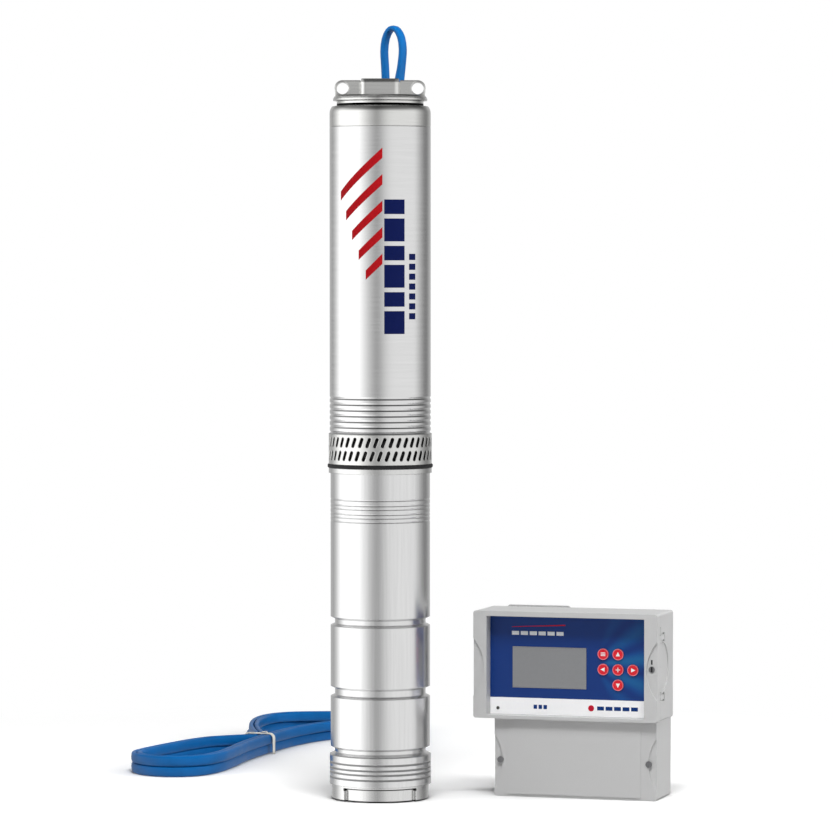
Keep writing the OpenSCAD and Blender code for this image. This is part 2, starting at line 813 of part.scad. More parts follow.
// A helix of round wire from the poppet up to the guide's hub
module valve_spring() {
    z0 = z_poppet + poppet_h + spring_wire / 2;
    z1 = z_hub - spring_wire / 2;
    steps = spring_turns * 14;
    sides = 6;
    rings = [for (i = [0 : steps]) let (a = 360 * spring_turns * i / steps)
        [for (k = [0 : sides - 1]) let (b = 360 * k / sides, r = spring_r + spring_wire / 2 * cos(b))
            [r * cos(a), r * sin(a), z0 + (z1 - z0) * i / steps - spring_wire / 2 * sin(b)]]];
    color("silver") pump() tube(rings);
}

// A closed tube through rings of points
module tube(rings) {
    n = len(rings[0]);
    last = len(rings) - 1;
    faces = concat(
        [[for (k = [0 : n - 1]) k]],
        [for (i = [0 : last - 1]) for (k = [0 : n - 1])
            [i * n + k, (i + 1) * n + k, (i + 1) * n + (k + 1) % n, i * n + (k + 1) % n]],
        [[for (k = [0 : n - 1]) last * n + n - 1 - k]]
    );
    polyhedron(points = joined(rings), faces = faces);
}

module valve_guide() {
    color("silver") pump() {
        ring(guide_r, guide_r - 3, z_guide, z_guide + guide_h);
        difference() {
            union() {
                translate([0, 0, z_hub]) cylinder(r = stem_d / 2 + 3, h = z_guide + guide_h - z_hub);
                around(3, 30) translate([0, -1.5, z_guide]) cube([guide_r - 2, 3, guide_h]);
            }
            translate([0, 0, z_hub - 1]) cylinder(r = stem_d / 2 + run_gap, h = 20);
        }
    }
}

module outlet_head() {
    skin = 4;
    outer = joined([
        [[sleeve_ri, z_head - head_spigot], [sleeve_ri, z_head], [sleeve_r - 0.4, z_head]],
        [[sleeve_r, z_head + 0.5]],
        arc(sleeve_r - 11, z_head + skirt_h, 11, 0, 38),
        [[neck_d / 2, z_head + skirt_h + 7.6], [neck_d / 2, z_deck - collar_h - 0.6]],
        [[collar_d / 2, z_deck - collar_h], [collar_d / 2, z_deck - 2.8]],
        [[collar_d / 2 - 0.7, z_deck - 2.4], [collar_d / 2 - 0.7, z_deck - 1.6]],
        [[collar_d / 2 - 2.2, z_deck], [0, z_deck]]
    ]);
    inner = [
        [0, z_guide], [guide_r - 3, z_guide], [guide_r - 3, z_guide - 6],
        [sleeve_ri - skin, z_head], [sleeve_ri - skin, z_head - head_spigot]
    ];
    color("silver") pump() difference() {
        union() {
            rotate_extrude() polygon(concat(outer, inner));
            outlet_boss();
        }
        translate([0, 0, z_guide]) cylinder(r = guide_r, h = guide_h + 1);
        translate([0, 0, z_guide + guide_h]) cylinder(r = outlet_d / 2, h = outlet_depth + 1);
        rotate_extrude() polygon([
            [0, z_top - 1.5], [outlet_d / 2, z_top - 0.8], [outlet_d / 2 + 1, z_top + 0.2], [0, z_top + 0.2]
        ]);
    }
}

// The square boss on the deck, with rounded corners and a sloped top edge
module outlet_boss() {
    inner_r = boss_r - boss_slope_in;
    translate([0, 0, z_deck - 1]) linear_extrude(boss_h - boss_slope_h + 1) rounded_square(boss_af, boss_r);
    hull() {
        translate([0, 0, z_top - boss_slope_h - eps]) linear_extrude(eps) rounded_square(boss_af, boss_r);
        translate([0, 0, z_top - eps]) linear_extrude(eps)
            rounded_square(boss_af - 2 * boss_slope_in, inner_r);
    }
}

module rounded_square(side, r) {
    corner = side / 2 - r;
    square([side, 2 * corner], center = true);
    square([2 * corner, side], center = true);
    for (x = [-corner, corner], y = [-corner, corner]) translate([x, y]) circle(r = r);
}

module rope_eyes() {
    top = eye_z + eye_d / 2 + eye_wall;
    color("silver") pump() for (side = [0, 180]) rotate([0, 0, side]) difference() {
        translate([0, 0, z_deck]) rotate([90, 0, 0]) linear_extrude(eye_t, center = true)
            difference() {
                union() {
                    translate([eye_x, eye_z]) circle(r = eye_d / 2 + eye_wall);
                    polygon([
                        [boss_af / 2 - 2, 0], [collar_d / 2 - 2.3, 0],
                        [eye_x + eye_d / 2 + eye_wall, eye_z], [eye_x, top], [boss_af / 2 - 2, top]
                    ]);
                }
                translate([eye_x, eye_z]) circle(r = eye_d / 2);
            }
        translate([0, 0, z_deck + boss_h / 2]) cube([boss_af, boss_af, boss_h + 2], center = true);
        translate([0, 0, z_deck - 5]) cylinder(r = collar_d / 2, h = 5);
    }
}

// ---------------------------------------------------------------- motor lead and guard

module lead_plug() {
    color("dimgray") at_guard() difference() {
        translate([-plug_w / 2, 30, z_flange - 1 - plug_h])
            cube([plug_w, lead_y + lead_t + 1.5 - 30, plug_h]);
        translate([0, 0, z_flange - 2 - plug_h]) cylinder(r = can_r, h = plug_h + 2);
    }
}

module motor_lead() {
    color("dodgerblue") at_guard() translate([0, lead_mid, z_flange - 1])
        linear_extrude(guard_z1 - z_flange + 1) lead_section();
}

// Section of the flat lead, wide along X
module lead_section() {
    square([lead_w - lead_t, lead_t], center = true);
    for (x = [-1, 1]) translate([x * (lead_w - lead_t) / 2, 0]) circle(r = lead_t / 2);
}

module cable_guard() {
    low = guard_z0;
    high = guard_z1;
    color("silver") difference() {
        at_guard() difference() {
            union() {
                translate([-guard_out, sleeve_r - 8, low])
                    cube([2 * guard_out, guard_depth + guard_wall - sleeve_r + 8, high - low]);
                intersection() {
                    ring(sleeve_r + guard_wall, sleeve_r - 1, z_sleeve + 2, high - 2);
                    translate([-guard_out - guard_flange, 20, low])
                        cube([2 * (guard_out + guard_flange), 60, high - low]);
                }
            }
            translate([-guard_in, 0, low - 1]) cube([2 * guard_in, guard_depth, high - low + 2]);
            cylinder(r = sleeve_r, h = high + 10);
            cylinder(r = rubber_d / 2 + 0.2, h = z_sleeve + 1.5);
        }
        at_guard_screws() cylinder(r = guard_screw_r, h = 8, center = true);
    }
}

module guard_screws() {
    color("gray") at_guard_screws() {
        translate([0, 0, -sleeve_wall]) cylinder(r = guard_screw_r, h = sleeve_wall + guard_wall + 0.2);
        translate([0, 0, guard_wall + 0.1]) cylinder(r = guard_screw_r + 0.9, h = 1.5);
    }
}

// ---------------------------------------------------------------- free lead

// Route of the free lead in the pump's frame: x, y, z, heading and tilt of its width.
// It rises from the guard, loops over, drops behind the pump and crosses the floor to the hank.
lead_route = [
    [15.8, 51.8, 664.7, -17, 0], [16, 52, 676, -10, 0], [17, 52, 688, 10, 0],
    [18.6, 52, 700, 35, 0], [20.6, 51, 714, 52, 0], [21.8, 50.3, 729, 56, 0],
    [20.2, 51.5, 741, 56, 0], [16.5, 54, 748.2, 56, 0], [12.7, 56.6, 750.3, 56, 0],
    [8.6, 59.4, 748, 56, 0], [5, 61.8, 740, 56, 0], [3.6, 62.8, 728, 56, 0],
    [4.4, 63.2, 712, 56, 0], [5, 64, 690, 56, 0], [4, 66, 650, 50, 0], [3, 68, 590, 45, 0],
    [2, 70, 500, 35, 0], [1, 72, 400, 25, 0], [0, 74, 300, 15, 0], [0, 76, 200, 8, 0],
    [0, 78, 110, 0, 0], [0, 82, 55, 0, 0], [1, 94, 22, 0, 0], [2, 116, 7.5, 0, 0],
    [4, 145, 3.5, 0, 0], [8, 185, 2.9, 0, 0], [13, 235, 3, 0, 0], [19, 290, 3.8, 0, 10],
    [25, 345, 5.1, 0, 30], [31, 400, 6, 0, 60], [36, 455, 5.4, 0, 90], [39, 510, 5.3, 0, 90],
    [40, 560, 5.3, 0, 90], [39, 588, 5.3, 0, 90]
];

// The end of the lead's sheath
tail_end = [26, 684, 5.9];

// The hank's outer turn, seen from above in the pump's frame
hank_turn = [
    [36, 610], [14, 629], [-24, 634], [-65, 634], [-108, 627], [-135, 600], [-147, 555],
    [-149, 505], [-145, 455], [-140, 415], [-145, 391], [-163, 382], [-189, 365], [-210, 335],
    [-228, 300], [-245, 264], [-257, 228], [-250, 197], [-230, 176], [-204, 171], [-178, 186],
    [-161, 220], [-150, 265], [-141, 310], [-131, 348], [-120, 385], [-107, 423], [-90, 465],
    [-62, 512], [-27, 543], [10, 561], [33, 582]
];

// A smooth point between b and c of four points in a row
function smooth(a, b, c, d, t) = 0.5 * (2 * b + (c - a) * t + (2 * a - 5 * b + 4 * c - d) * t * t
    + (3 * b - a - 3 * c + d) * t * t * t);

function unit(v) = v / norm(v);

// Rings of the flat lead through a route, with two rings a stretch
function lead_rings(route) =
    let (n = len(route) - 1, at = function (s) let (i = min(floor(s), n - 1), t = s - i)
        smooth(route[max(i - 1, 0)], route[i], route[i + 1], route[min(i + 2, n)], t))
    [for (k = [0 : 2 * n]) let (
        p = at(k / 2),
        q0 = at(max(k / 2 - 0.25, 0)), q1 = at(min(k / 2 + 0.25, n)),
        along = unit([q1[0] - q0[0], q1[1] - q0[1], q1[2] - q0[2]]),
        wide0 = [cos(p[4]) * cos(p[3]), cos(p[4]) * sin(p[3]), sin(p[4])],
        wide = unit(wide0 - (wide0 * along) * along),
        thin = cross(along, wide),
        x = lead_w / 2, y = lead_t / 2)
        [for (c = [[1, -0.45], [1, 0.45], [0.6, 1], [-0.6, 1], [-1, 0.45], [-1, -0.45], [-0.6, -1],
            [0.6, -1]]) [p[0], p[1], p[2]] + c[0] * x * wide + c[1] * y * thin]];

module free_cord() {
    color("dodgerblue") pump() tube(lead_rings(lead_route));
}

// The hank's outline, half a lead's thickness outside its outer turn
function hank_outline() = let (n = len(hank_turn))
    [for (i = [0 : n - 1]) for (t = [0, 0.5]) let (
        a = hank_turn[(i + n - 1) % n], b = hank_turn[i],
        c = hank_turn[(i + 1) % n], d = hank_turn[(i + 2) % n],
        p = smooth(a, b, c, d, t),
        along = unit(smooth(a, b, c, d, t + 0.05) - smooth(a, b, c, d, t - 0.05)))
        p - lead_t / 2 * [-along[1], along[0]]];

module cord_hank() {
    color("dodgerblue") pump() linear_extrude(2 * lead_w) polygon(hank_outline());
}

// The tie goes over the hank's waist and down on both sides
module hank_tie() {
    waist = [-131.7, 390.2];
    half = 15.9;
    color("ivory") pump() translate([waist[0], waist[1], 0]) rotate([0, 0, -19]) difference() {
        translate([-half - 1, -tie_w / 2, 0]) cube([2 * half + 2, tie_w, 2 * lead_w + 1]);
        translate([-half, -tie_w, -1]) cube([2 * half, 2 * tie_w, 2 * lead_w + 1]);
    }
}

// The lead's far end: the last of the sheath, its cores and their ferrules
module cord_end() {
    tail = [
        [34.5, 604, 15.8, 0, 90], [37.5, 624, 15.8, 0, 90], [35, 640, 14.5, 0, 90],
        [31, 660, 10.5, 0, 90], [26, 684, 5.9, 0, 90]
    ];
    color("dodgerblue") pump() {
        tube(lead_rings(tail));
        translate(tail_end) for (i = [-1 : 1]) rotate([0, 0, 11.8]) translate([0, 0.8, 3.2 * i])
            rotate([-90, 0, 0]) rotate_extrude() polygon([
                [0, 0], [1.3, 0], [1.3, 22], [0.9, 22], [0.9, 30], [0, 30]
            ]);
    }
}

// ---------------------------------------------------------------- controller housing

// Outlines of the door, of the terminal section and of the housing behind both
module door_outline(inset = 0) {
    round_rect(inset, ctrl_w - inset, step_z + inset, ctrl_h - inset, corner_r - inset / 2);
}

module low_outline(inset = 0) {
    round_rect(low_u0 + inset, low_u1 - inset, inset, low_top, foot_r - inset);
    rect(low_u0 + inset, low_u1 - inset, low_top / 2, low_top);
}

module housing() {
    color("gainsboro") controller() {
        difference() {
            union() {
                slab(rim_v, back_v) door_outline();
                slab(rim_v, back_v) {
                    low_outline();
                    rect(low_u0, low_u1, low_top - 1, step_z + 1);
                }
            }
            slab(rim_v - 1, back_v - wall) door_cavity();
            slab(rim_v - 1, back_v - wall) low_cavity();
            at_knockouts() translate([0, 0, -1]) cylinder(r = knockout_r, h = wall + 2);
            side_cut(side_in) translate([side_v, step_z + side_z]) circle(r = side_r);
            side_cut(slot_in) {
                translate([rim_v + 3, step_z + side_z]) circle(r = 1.4, $fn = 24);
                for (side = [-1, 1]) latch_slot(step_z + side_z + side * latch_pitch / 2);
            }
        }
        for (u = screw_places) difference() {
            rod(u, cover_screw_z, screw_boss_r, rim_v, back_v - wall + eps);
            rod(u, cover_screw_z, cover_screw_r, rim_v - 1, rim_v + 12);
        }
        for (z = hinge_z) hinge_arm(step_z + z);
        for (z = hinge_z) side_tab(step_z + z);
        lock_keeper();
        for (u = [board_u + 8, board_u + board_w - 8]) for (z = [step_z + 14, ctrl_h - 14])
            rod(u, z, 3, back_v - wall - 8, back_v - wall + eps);
    }
}

// Cuts an outline in v and z into both sides of the housing
module side_cut(depth) {
    for (u = [0, ctrl_w - depth]) translate([u, 0, 0]) rotate([90, 0, 90]) linear_extrude(depth) children();
}

// The slot round a snap tongue, open towards the door
module latch_slot(z) {
    half = tongue_w / 2;
    difference() {
        rect(rim_v + 1, rim_v + tongue_l + tongue_gap, z - half - tongue_gap, z + half + tongue_gap);
        rect(rim_v, rim_v + tongue_l, z - half, z + half);
    }
}

// The two rooms of the housing, or what lies inside a bead along their walls
module door_cavity(bead = 0) {
    edge = wall + bead;
    rect(edge, ctrl_w - edge, step_z + edge, ctrl_h - edge);
}

module low_cavity(bead = 0) {
    edge = wall + bead;
    rect(low_u0 + edge, low_u1 - edge, edge, low_top - edge);
}

// An arm of the housing that carries a hinge pin inside the door
module hinge_arm(z) {
    translate([0, 0, z - hinge_h / 2]) difference() {
        linear_extrude(hinge_h) union() {
            translate([hinge_u, hinge_v]) circle(r = hinge_eye_r);
            polygon([
                [wall, rim_v], [hinge_u - hinge_eye_r, hinge_v], [arm_u, hinge_v + 2.5],
                [arm_u, rim_v + arm_foot], [wall - 1, rim_v + arm_foot], [wall - 1, rim_v + 1]
            ]);
        }
        translate([hinge_u, hinge_v, -1]) cylinder(r = hinge_pin_d / 2, h = hinge_h + 2);
    }
}

// A locating tab of the housing on the door's free side
module side_tab(z) {
    slab(hinge_v, rim_v + 2) rect(ctrl_w - wall, ctrl_w - 0.6, z - hinge_h / 2, z + hinge_h / 2);
}

// The plate behind the door that the lock's bit turns behind
module lock_keeper() {
    z = step_z + lock_z;
    slab(keeper_v, keeper_v + keeper_t) difference() {
        keeper_outline(ctrl_w - wall + eps);
        rect(lock_u - slot_half, lock_u + slot_half, z - bit_len - 0.6, z + slot_half);
    }
}

// The keeper's outline, from the left of the lock to a given side
module keeper_outline(right) {
    z = step_z + lock_z;
    rect(lock_u - 9, right, z - bit_len - 4, z + 5);
}

module wall_bracket() {
    tab_rise = 1.4;
    mid = ctrl_w / 2;
    color("gainsboro") controller() difference() {
        slab(back_v, ctrl_d) {
            rect(mid - 64, mid + 64, 20, ctrl_h - 6);
            polygon([
                [mid - 64, ctrl_h - 30], [mid - 80, ctrl_h - 14], [mid - 80, ctrl_h - 3],
                [mid - 74, ctrl_h + tab_rise], [mid - 14, ctrl_h + tab_rise], [mid - 4, ctrl_h - 7]
            ]);
        }
        for (i = [-1, 1]) for (j = [-1, 1])
            rod(mid + i * bracket_pitch_u / 2, ctrl_h / 2 + 8 + j * bracket_pitch_z / 2,
                bracket_hole_d / 2, back_v - 1, ctrl_d + 1);
    }
}

// ---------------------------------------------------------------- door

module front_cover() {
    key_room = key_d / 2 + key_gap;
    color("gainsboro") controller() difference() {
        union() {
            difference() {
                slab(0, door_t) door_outline();
                slab(-1, floor_v) rect(window_u0, window_u1, window_z0, window_z1);
                for (u = [scoop_reach - scoop_r, ctrl_w - scoop_reach + scoop_r])
                    rod(u, step_z + lock_z - 2, scoop_r, -1, scoop_in);
                slab(wall, door_t + 1) margin_pockets();
                for (z = hinge_z) hinge_room(step_z + z);
                heel_cut();
            }
            for (u = [key_mid_u - 21, key_mid_u + 22.4]) for (z = [key_z - 21, key_z + 22])
                rod(u, step_z + z, 2, door_t - 1, board_v);
        }
        for (z = hinge_z) translate([hinge_u, hinge_v, step_z + z - boss_d])
            cylinder(r = hinge_pin_d / 2 + run_gap, h = 2 * boss_d);
        rod(lock_u, step_z + lock_z, lock_d / 2 + run_gap, -1, door_t + 1);
        slab(floor_v - 1, door_t + 1) display_window(2);
        for (k = key_places()) rod(k[0], k[1], key_room, floor_v - 1, door_t + 1);
        rod(window_u0 + 8, window_z0 + 6, 1.5, floor_v - 1, door_t + 1);
    }
}

// Moulded-out pockets behind the door's side margins
module margin_pockets() {
    rect(wall, window_u0 - 2.5, step_z + hinge_z[0] + 12, step_z + hinge_z[1] - 12);
    rect(window_u1 + 2, ctrl_w - wall, step_z + lock_z + 10, step_z + hinge_z[1] - 8);
}

// The room in the door for a hinge arm on one side and a locating tab on the other
module hinge_room(z) {
    h = hinge_h / 2 + hinge_slot;
    r = hinge_eye_r + hinge_slot;
    translate([-1, hinge_v - r, z - h]) cube([hinge_u + r + 1, door_t, 2 * h]);
    translate([ctrl_w - wall - hinge_slot, hinge_v - hinge_slot, z - h]) cube([10, door_t, 2 * h]);
}

// Rounds the door's rear edge about the hinge axis, so that it clears the housing
module heel_cut() {
    r = door_t - hinge_v;
    translate([0, 0, step_z - 1]) difference() {
        translate([-1, hinge_v, 0]) cube([hinge_u + 1, door_t, ctrl_h]);
        translate([hinge_u, hinge_v, -1]) cylinder(r = r, h = ctrl_h + 2);
    }
}

module display_window(inset) {
    rect(lcd_mid_u - lcd_w / 2 + inset, lcd_mid_u + lcd_w / 2 - inset,
        step_z + lcd_z - lcd_h / 2 + inset, step_z + lcd_z + lcd_h / 2 - inset);
}

// Centres of the six keys: menu, up, left, enter, right, down
function key_places() = [for (k = [[-1, 1], [0, 1], [-1, 0], [0, 0], [1, 0], [0, -1]])
    [key_mid_u + k[0] * key_pitch, step_z + key_z + k[1] * key_pitch]];

module key_panel() {
    edge = 0.2;
    color("midnightblue") controller() slab(floor_v - panel_t, floor_v) difference() {
        rect(window_u0 + edge, window_u1 - edge, window_z0 + edge, window_z1 - edge);
        display_window(-edge);
        for (k = key_places()) translate(k) circle(r = key_d / 2 + key_gap);
        translate([window_u0 + 8, window_z0 + 6]) circle(r = 1.7);
    }
}

module display() {
    color("gray") controller() {
        slab(floor_v - panel_t - 0.2, floor_v) display_window(0);
        slab(door_t, door_t + 4) display_window(-2.5);
    }
}

module key_board() {
    u0 = key_mid_u - 25;
    u1 = key_mid_u + 26.4;
    color("seagreen") controller() {
        slab(board_v, board_v + 1.6) rect(u0, u1, step_z + key_z - 24, step_z + key_z + 25);
        for (k = key_places()) slab(board_v - 1.8, board_v) translate(k) square(6, center = true);
        rod(window_u0 + 8, window_z0 + 6, 1.5, floor_v - 0.9, door_t + 3);
        slab(door_t + 3, door_t + 4) rect(window_u0 + 3, window_u0 + 14, window_z0 + 3, window_z0 + 12);
    }
}

// One key: its cap in front of the panel and the flange that keeps it in
module key(n) {
    k = key_places()[n];
    flange_v = door_t + key_gap;
    color("crimson") controller() {
        rod(k[0], k[1], key_d / 2, floor_v - key_proud, flange_v + eps);
        rod(k[0], k[1], key_d / 2 + key_flange, flange_v, flange_v + key_flange_t);
    }
}

module key_menu() { key(0); }
module key_up() { key(1); }
module key_left() { key(2); }
module key_enter() { key(3); }
module key_right() { key(4); }
module key_down() { key(5); }

module cover_gasket() {
    bead = 2;
    color("dimgray") controller() slab(rim_v, rim_v + gasket_t) {
        difference() {
            door_cavity();
            door_cavity(bead);
            for (z = hinge_z) translate([0, step_z + z - hinge_h / 2]) square([arm_u, hinge_h]);
            keeper_outline(ctrl_w);
        }
        difference() {
            low_cavity();
            low_cavity(bead);
            for (u = screw_places) translate([u, cover_screw_z]) circle(r = screw_boss_r);
        }
    }
}

module hinge_pins() {
    color("silver") controller() for (z = hinge_z)
        translate([hinge_u, hinge_v, step_z + z - boss_d + 0.5])
            cylinder(r = hinge_pin_d / 2, h = 2 * boss_d - 1);
}

module cover_lock() {
    z = step_z + lock_z;
    bit_v = keeper_v + keeper_t + 0.6;
    color("dimgray") controller() {
        difference() {
            rod(lock_u, z, lock_d / 2, 1, door_t);
            slab(-1, 2.2) rect(lock_u - 0.8, lock_u + 0.8, z - 2.2, z + 2.2);
        }
        rod(lock_u, z, lock_spindle_r, door_t - eps, bit_v + bit_t);
        slab(bit_v, bit_v + bit_t)
            rect(lock_u - lock_spindle_r, lock_u + lock_spindle_r, z - bit_len, z);
    }
}

// ---------------------------------------------------------------- terminal section

module terminal_cover() {
    strip = 0.8;
    color("lightgray") controller() difference() {
        union() {
            difference() {
                slab(cover_v0 + strip, door_t) low_outline();
                slab(cover_v0 + strip + wall, door_t + 1) rect(low_u0 + wall, low_u1 - wall,
                    wall, low_top - wall);
            }
            slab(cover_v0, cover_v0 + strip + 1)
                rect(low_u0 + panel_left, low_u1 - panel_right, 2.5, low_top);
            for (u = screw_places) rod(u, cover_screw_z, screw_boss_r, cover_v0 + strip + 1, door_t);
        }
        for (u = [low_u0 + low_scoop - scoop_r, low_u1 - low_scoop + scoop_r])
            rod(u, cover_screw_z, scoop_r, -1, cover_v0 + strip + scoop_in);
        for (u = screw_places) {
            rod(u, cover_screw_z, cover_screw_r, -1, door_t + 1);
            rod(u, cover_screw_z, screw_head_r + 0.2, -1, screw_head_v);
        }
    }
}

module cover_screws() {
    color("gray") controller() for (u = screw_places) {
        difference() {
            rod(u, cover_screw_z, screw_head_r, screw_head_v - 1.4, screw_head_v);
            slab(screw_head_v - 2, screw_head_v - 0.7) square_slot(u, cover_screw_z);
        }
        rod(u, cover_screw_z, cover_screw_r, screw_head_v - 0.5, rim_v + 10);
    }
}

module square_slot(u, z) {
    translate([u, z]) square([4.6, 0.9], center = true);
    translate([u, z]) square([0.9, 4.6], center = true);
}

module control_board() {
    v = back_v - wall - 8;
    face = v - 1.6;
    z0 = step_z + 8;
    color("seagreen") controller() {
        slab(face, v) rect(board_u, board_u + board_w, z0, ctrl_h - 8);
        for (i = [0 : 2]) rod(board_u + 16 + 18 * i, ctrl_h - 30, 8, face - 24.4, face);
        slab(face - 18.4, face) rect(board_u + 12, board_u + 46, z0 + 10, z0 + 40);
        for (i = [0 : 2]) slab(face - 12.4, face)
            rect(board_u + board_w - 32, board_u + board_w - 10, z0 + 12 + 16 * i, z0 + 23 + 16 * i);
    }
}

module heatsink() {
    back = back_v - wall;
    z0 = step_z + wall + 9;
    z1 = ctrl_h - wall - 9;
    fins = floor((heatsink_w - heatsink_fin) / heatsink_pitch);
    color("silver") controller() {
        slab(back - 5, back) rect(heatsink_u, heatsink_u + heatsink_w, z0, z1);
        for (i = [0 : fins]) let (u = heatsink_u + heatsink_fin + i * heatsink_pitch)
            slab(back - 19, back - 5 + eps) rect(u, u + heatsink_fin, z0, z1);
    }
}

module terminal_block() {
    v = back_v - wall;
    poles = floor((terminal_w - 20) / terminal_pitch);
    color("seagreen") controller() {
        slab(v - 16, v) rect(terminal_u, terminal_u + terminal_w, terminal_z, terminal_z + terminal_h);
        for (i = [0 : poles])
            rod(terminal_u + 10 + i * terminal_pitch, terminal_z + terminal_h / 2, terminal_screw_r,
                v - 16.8, v - 16);
    }
}

module knockout_plugs() {
    color("darkgray") controller() at_knockouts() {
        cylinder(r = knockout_r, h = wall);
        translate([0, 0, wall]) cylinder(r = knockout_r + 2, h = 2);
    }
}

// Places its children at the three cable entries in the housing's foot
module at_knockouts() {
    for (i = [-1 : 1]) translate([ctrl_w / 2 + i * knockout_pitch, knockout_v, 0]) children();
}

end_cap();
motor_can();
pressure_diaphragm();
thrust_pads();
thrust_runner();
bearing_carrier();
motor_bearings();
stator_core();
stator_windings();
rotor_core();
rotor_magnets();
rotor_shaft();
motor_flange();
shaft_seal();
flange_fasteners();
rubber_ring();
suction_bracket();
suction_strainer();
shaft_coupling();
pump_shaft();
diffusers();
impellers();
bearing_plate();
shaft_bush();
pump_sleeve();
valve_seat();
valve_poppet();
valve_spring();
valve_guide();
outlet_head();
rope_eyes();
lead_plug();
motor_lead();
cable_guard();
guard_screws();
free_cord();
cord_hank();
hank_tie();
cord_end();
housing();
wall_bracket();
front_cover();
cover_gasket();
hinge_pins();
cover_lock();
key_panel();
display();
key_board();
key_menu();
key_up();
key_left();
key_enter();
key_right();
key_down();
terminal_cover();
cover_screws();
control_board();
heatsink();
terminal_block();
knockout_plugs();
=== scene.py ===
import math
import bpy
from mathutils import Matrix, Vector
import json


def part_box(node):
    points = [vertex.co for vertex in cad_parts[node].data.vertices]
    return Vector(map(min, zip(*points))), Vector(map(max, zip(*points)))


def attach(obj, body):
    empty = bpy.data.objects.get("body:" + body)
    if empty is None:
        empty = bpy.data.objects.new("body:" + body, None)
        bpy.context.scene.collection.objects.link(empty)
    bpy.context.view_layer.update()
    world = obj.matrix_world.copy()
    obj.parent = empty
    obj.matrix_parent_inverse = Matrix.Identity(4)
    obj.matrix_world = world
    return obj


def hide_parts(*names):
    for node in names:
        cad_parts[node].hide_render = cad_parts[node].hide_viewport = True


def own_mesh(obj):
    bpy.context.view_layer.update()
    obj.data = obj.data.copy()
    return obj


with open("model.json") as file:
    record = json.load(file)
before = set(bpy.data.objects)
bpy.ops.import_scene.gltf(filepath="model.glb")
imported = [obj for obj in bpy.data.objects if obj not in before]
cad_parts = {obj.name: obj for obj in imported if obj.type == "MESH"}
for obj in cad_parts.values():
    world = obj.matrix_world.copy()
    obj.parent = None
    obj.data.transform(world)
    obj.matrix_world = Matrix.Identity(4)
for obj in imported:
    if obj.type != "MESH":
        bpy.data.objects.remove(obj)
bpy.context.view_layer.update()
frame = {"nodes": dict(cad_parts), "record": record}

NODES = frame["nodes"]

# The pump's front faces the camera: level directions towards the camera and to its right
TURN = math.radians(17.0)
NEAR = Vector((math.sin(TURN), -math.cos(TURN), 0.0))
RIGHT = Vector((math.cos(TURN), math.sin(TURN), 0.0))


# ---------------------------------------------------------------- camera

# Lens and sensor in millimetres, reach and place in metres, tilt downwards in degrees
CAMERA_LENS = 190.16
CAMERA_SENSOR = 36.0
CAMERA_REACH = 100.0
CAMERA_PLACE = (1.2815, -4.0712, 0.5163)
CAMERA_DIP = 1.946


def link_object(name, data):
    obj = bpy.data.objects.new(name, data)
    bpy.context.scene.collection.objects.link(obj)
    return obj


def make_camera():
    data = bpy.data.cameras.new("camera")
    data.lens = CAMERA_LENS
    data.sensor_width = CAMERA_SENSOR
    data.clip_end = CAMERA_REACH
    obj = link_object("camera", data)
    obj.location = CAMERA_PLACE
    obj.rotation_euler = (math.radians(90.0 - CAMERA_DIP), 0.0, TURN)
    bpy.context.scene.camera = obj


# ---------------------------------------------------------------- shader helpers

# Sockets of a Mix node that mixes colours
MIX_FIRST = 6
MIX_SECOND = 7
MIX_RESULT = 2
NOISE_DETAIL = 3.0
EVEN = (1, 1, 1)
# Where the noise's low and high values sit on its ramp
GRAIN_LOW = 0.3
GRAIN_HIGH = 0.7
GRAIN_DEPTH = 0.0001


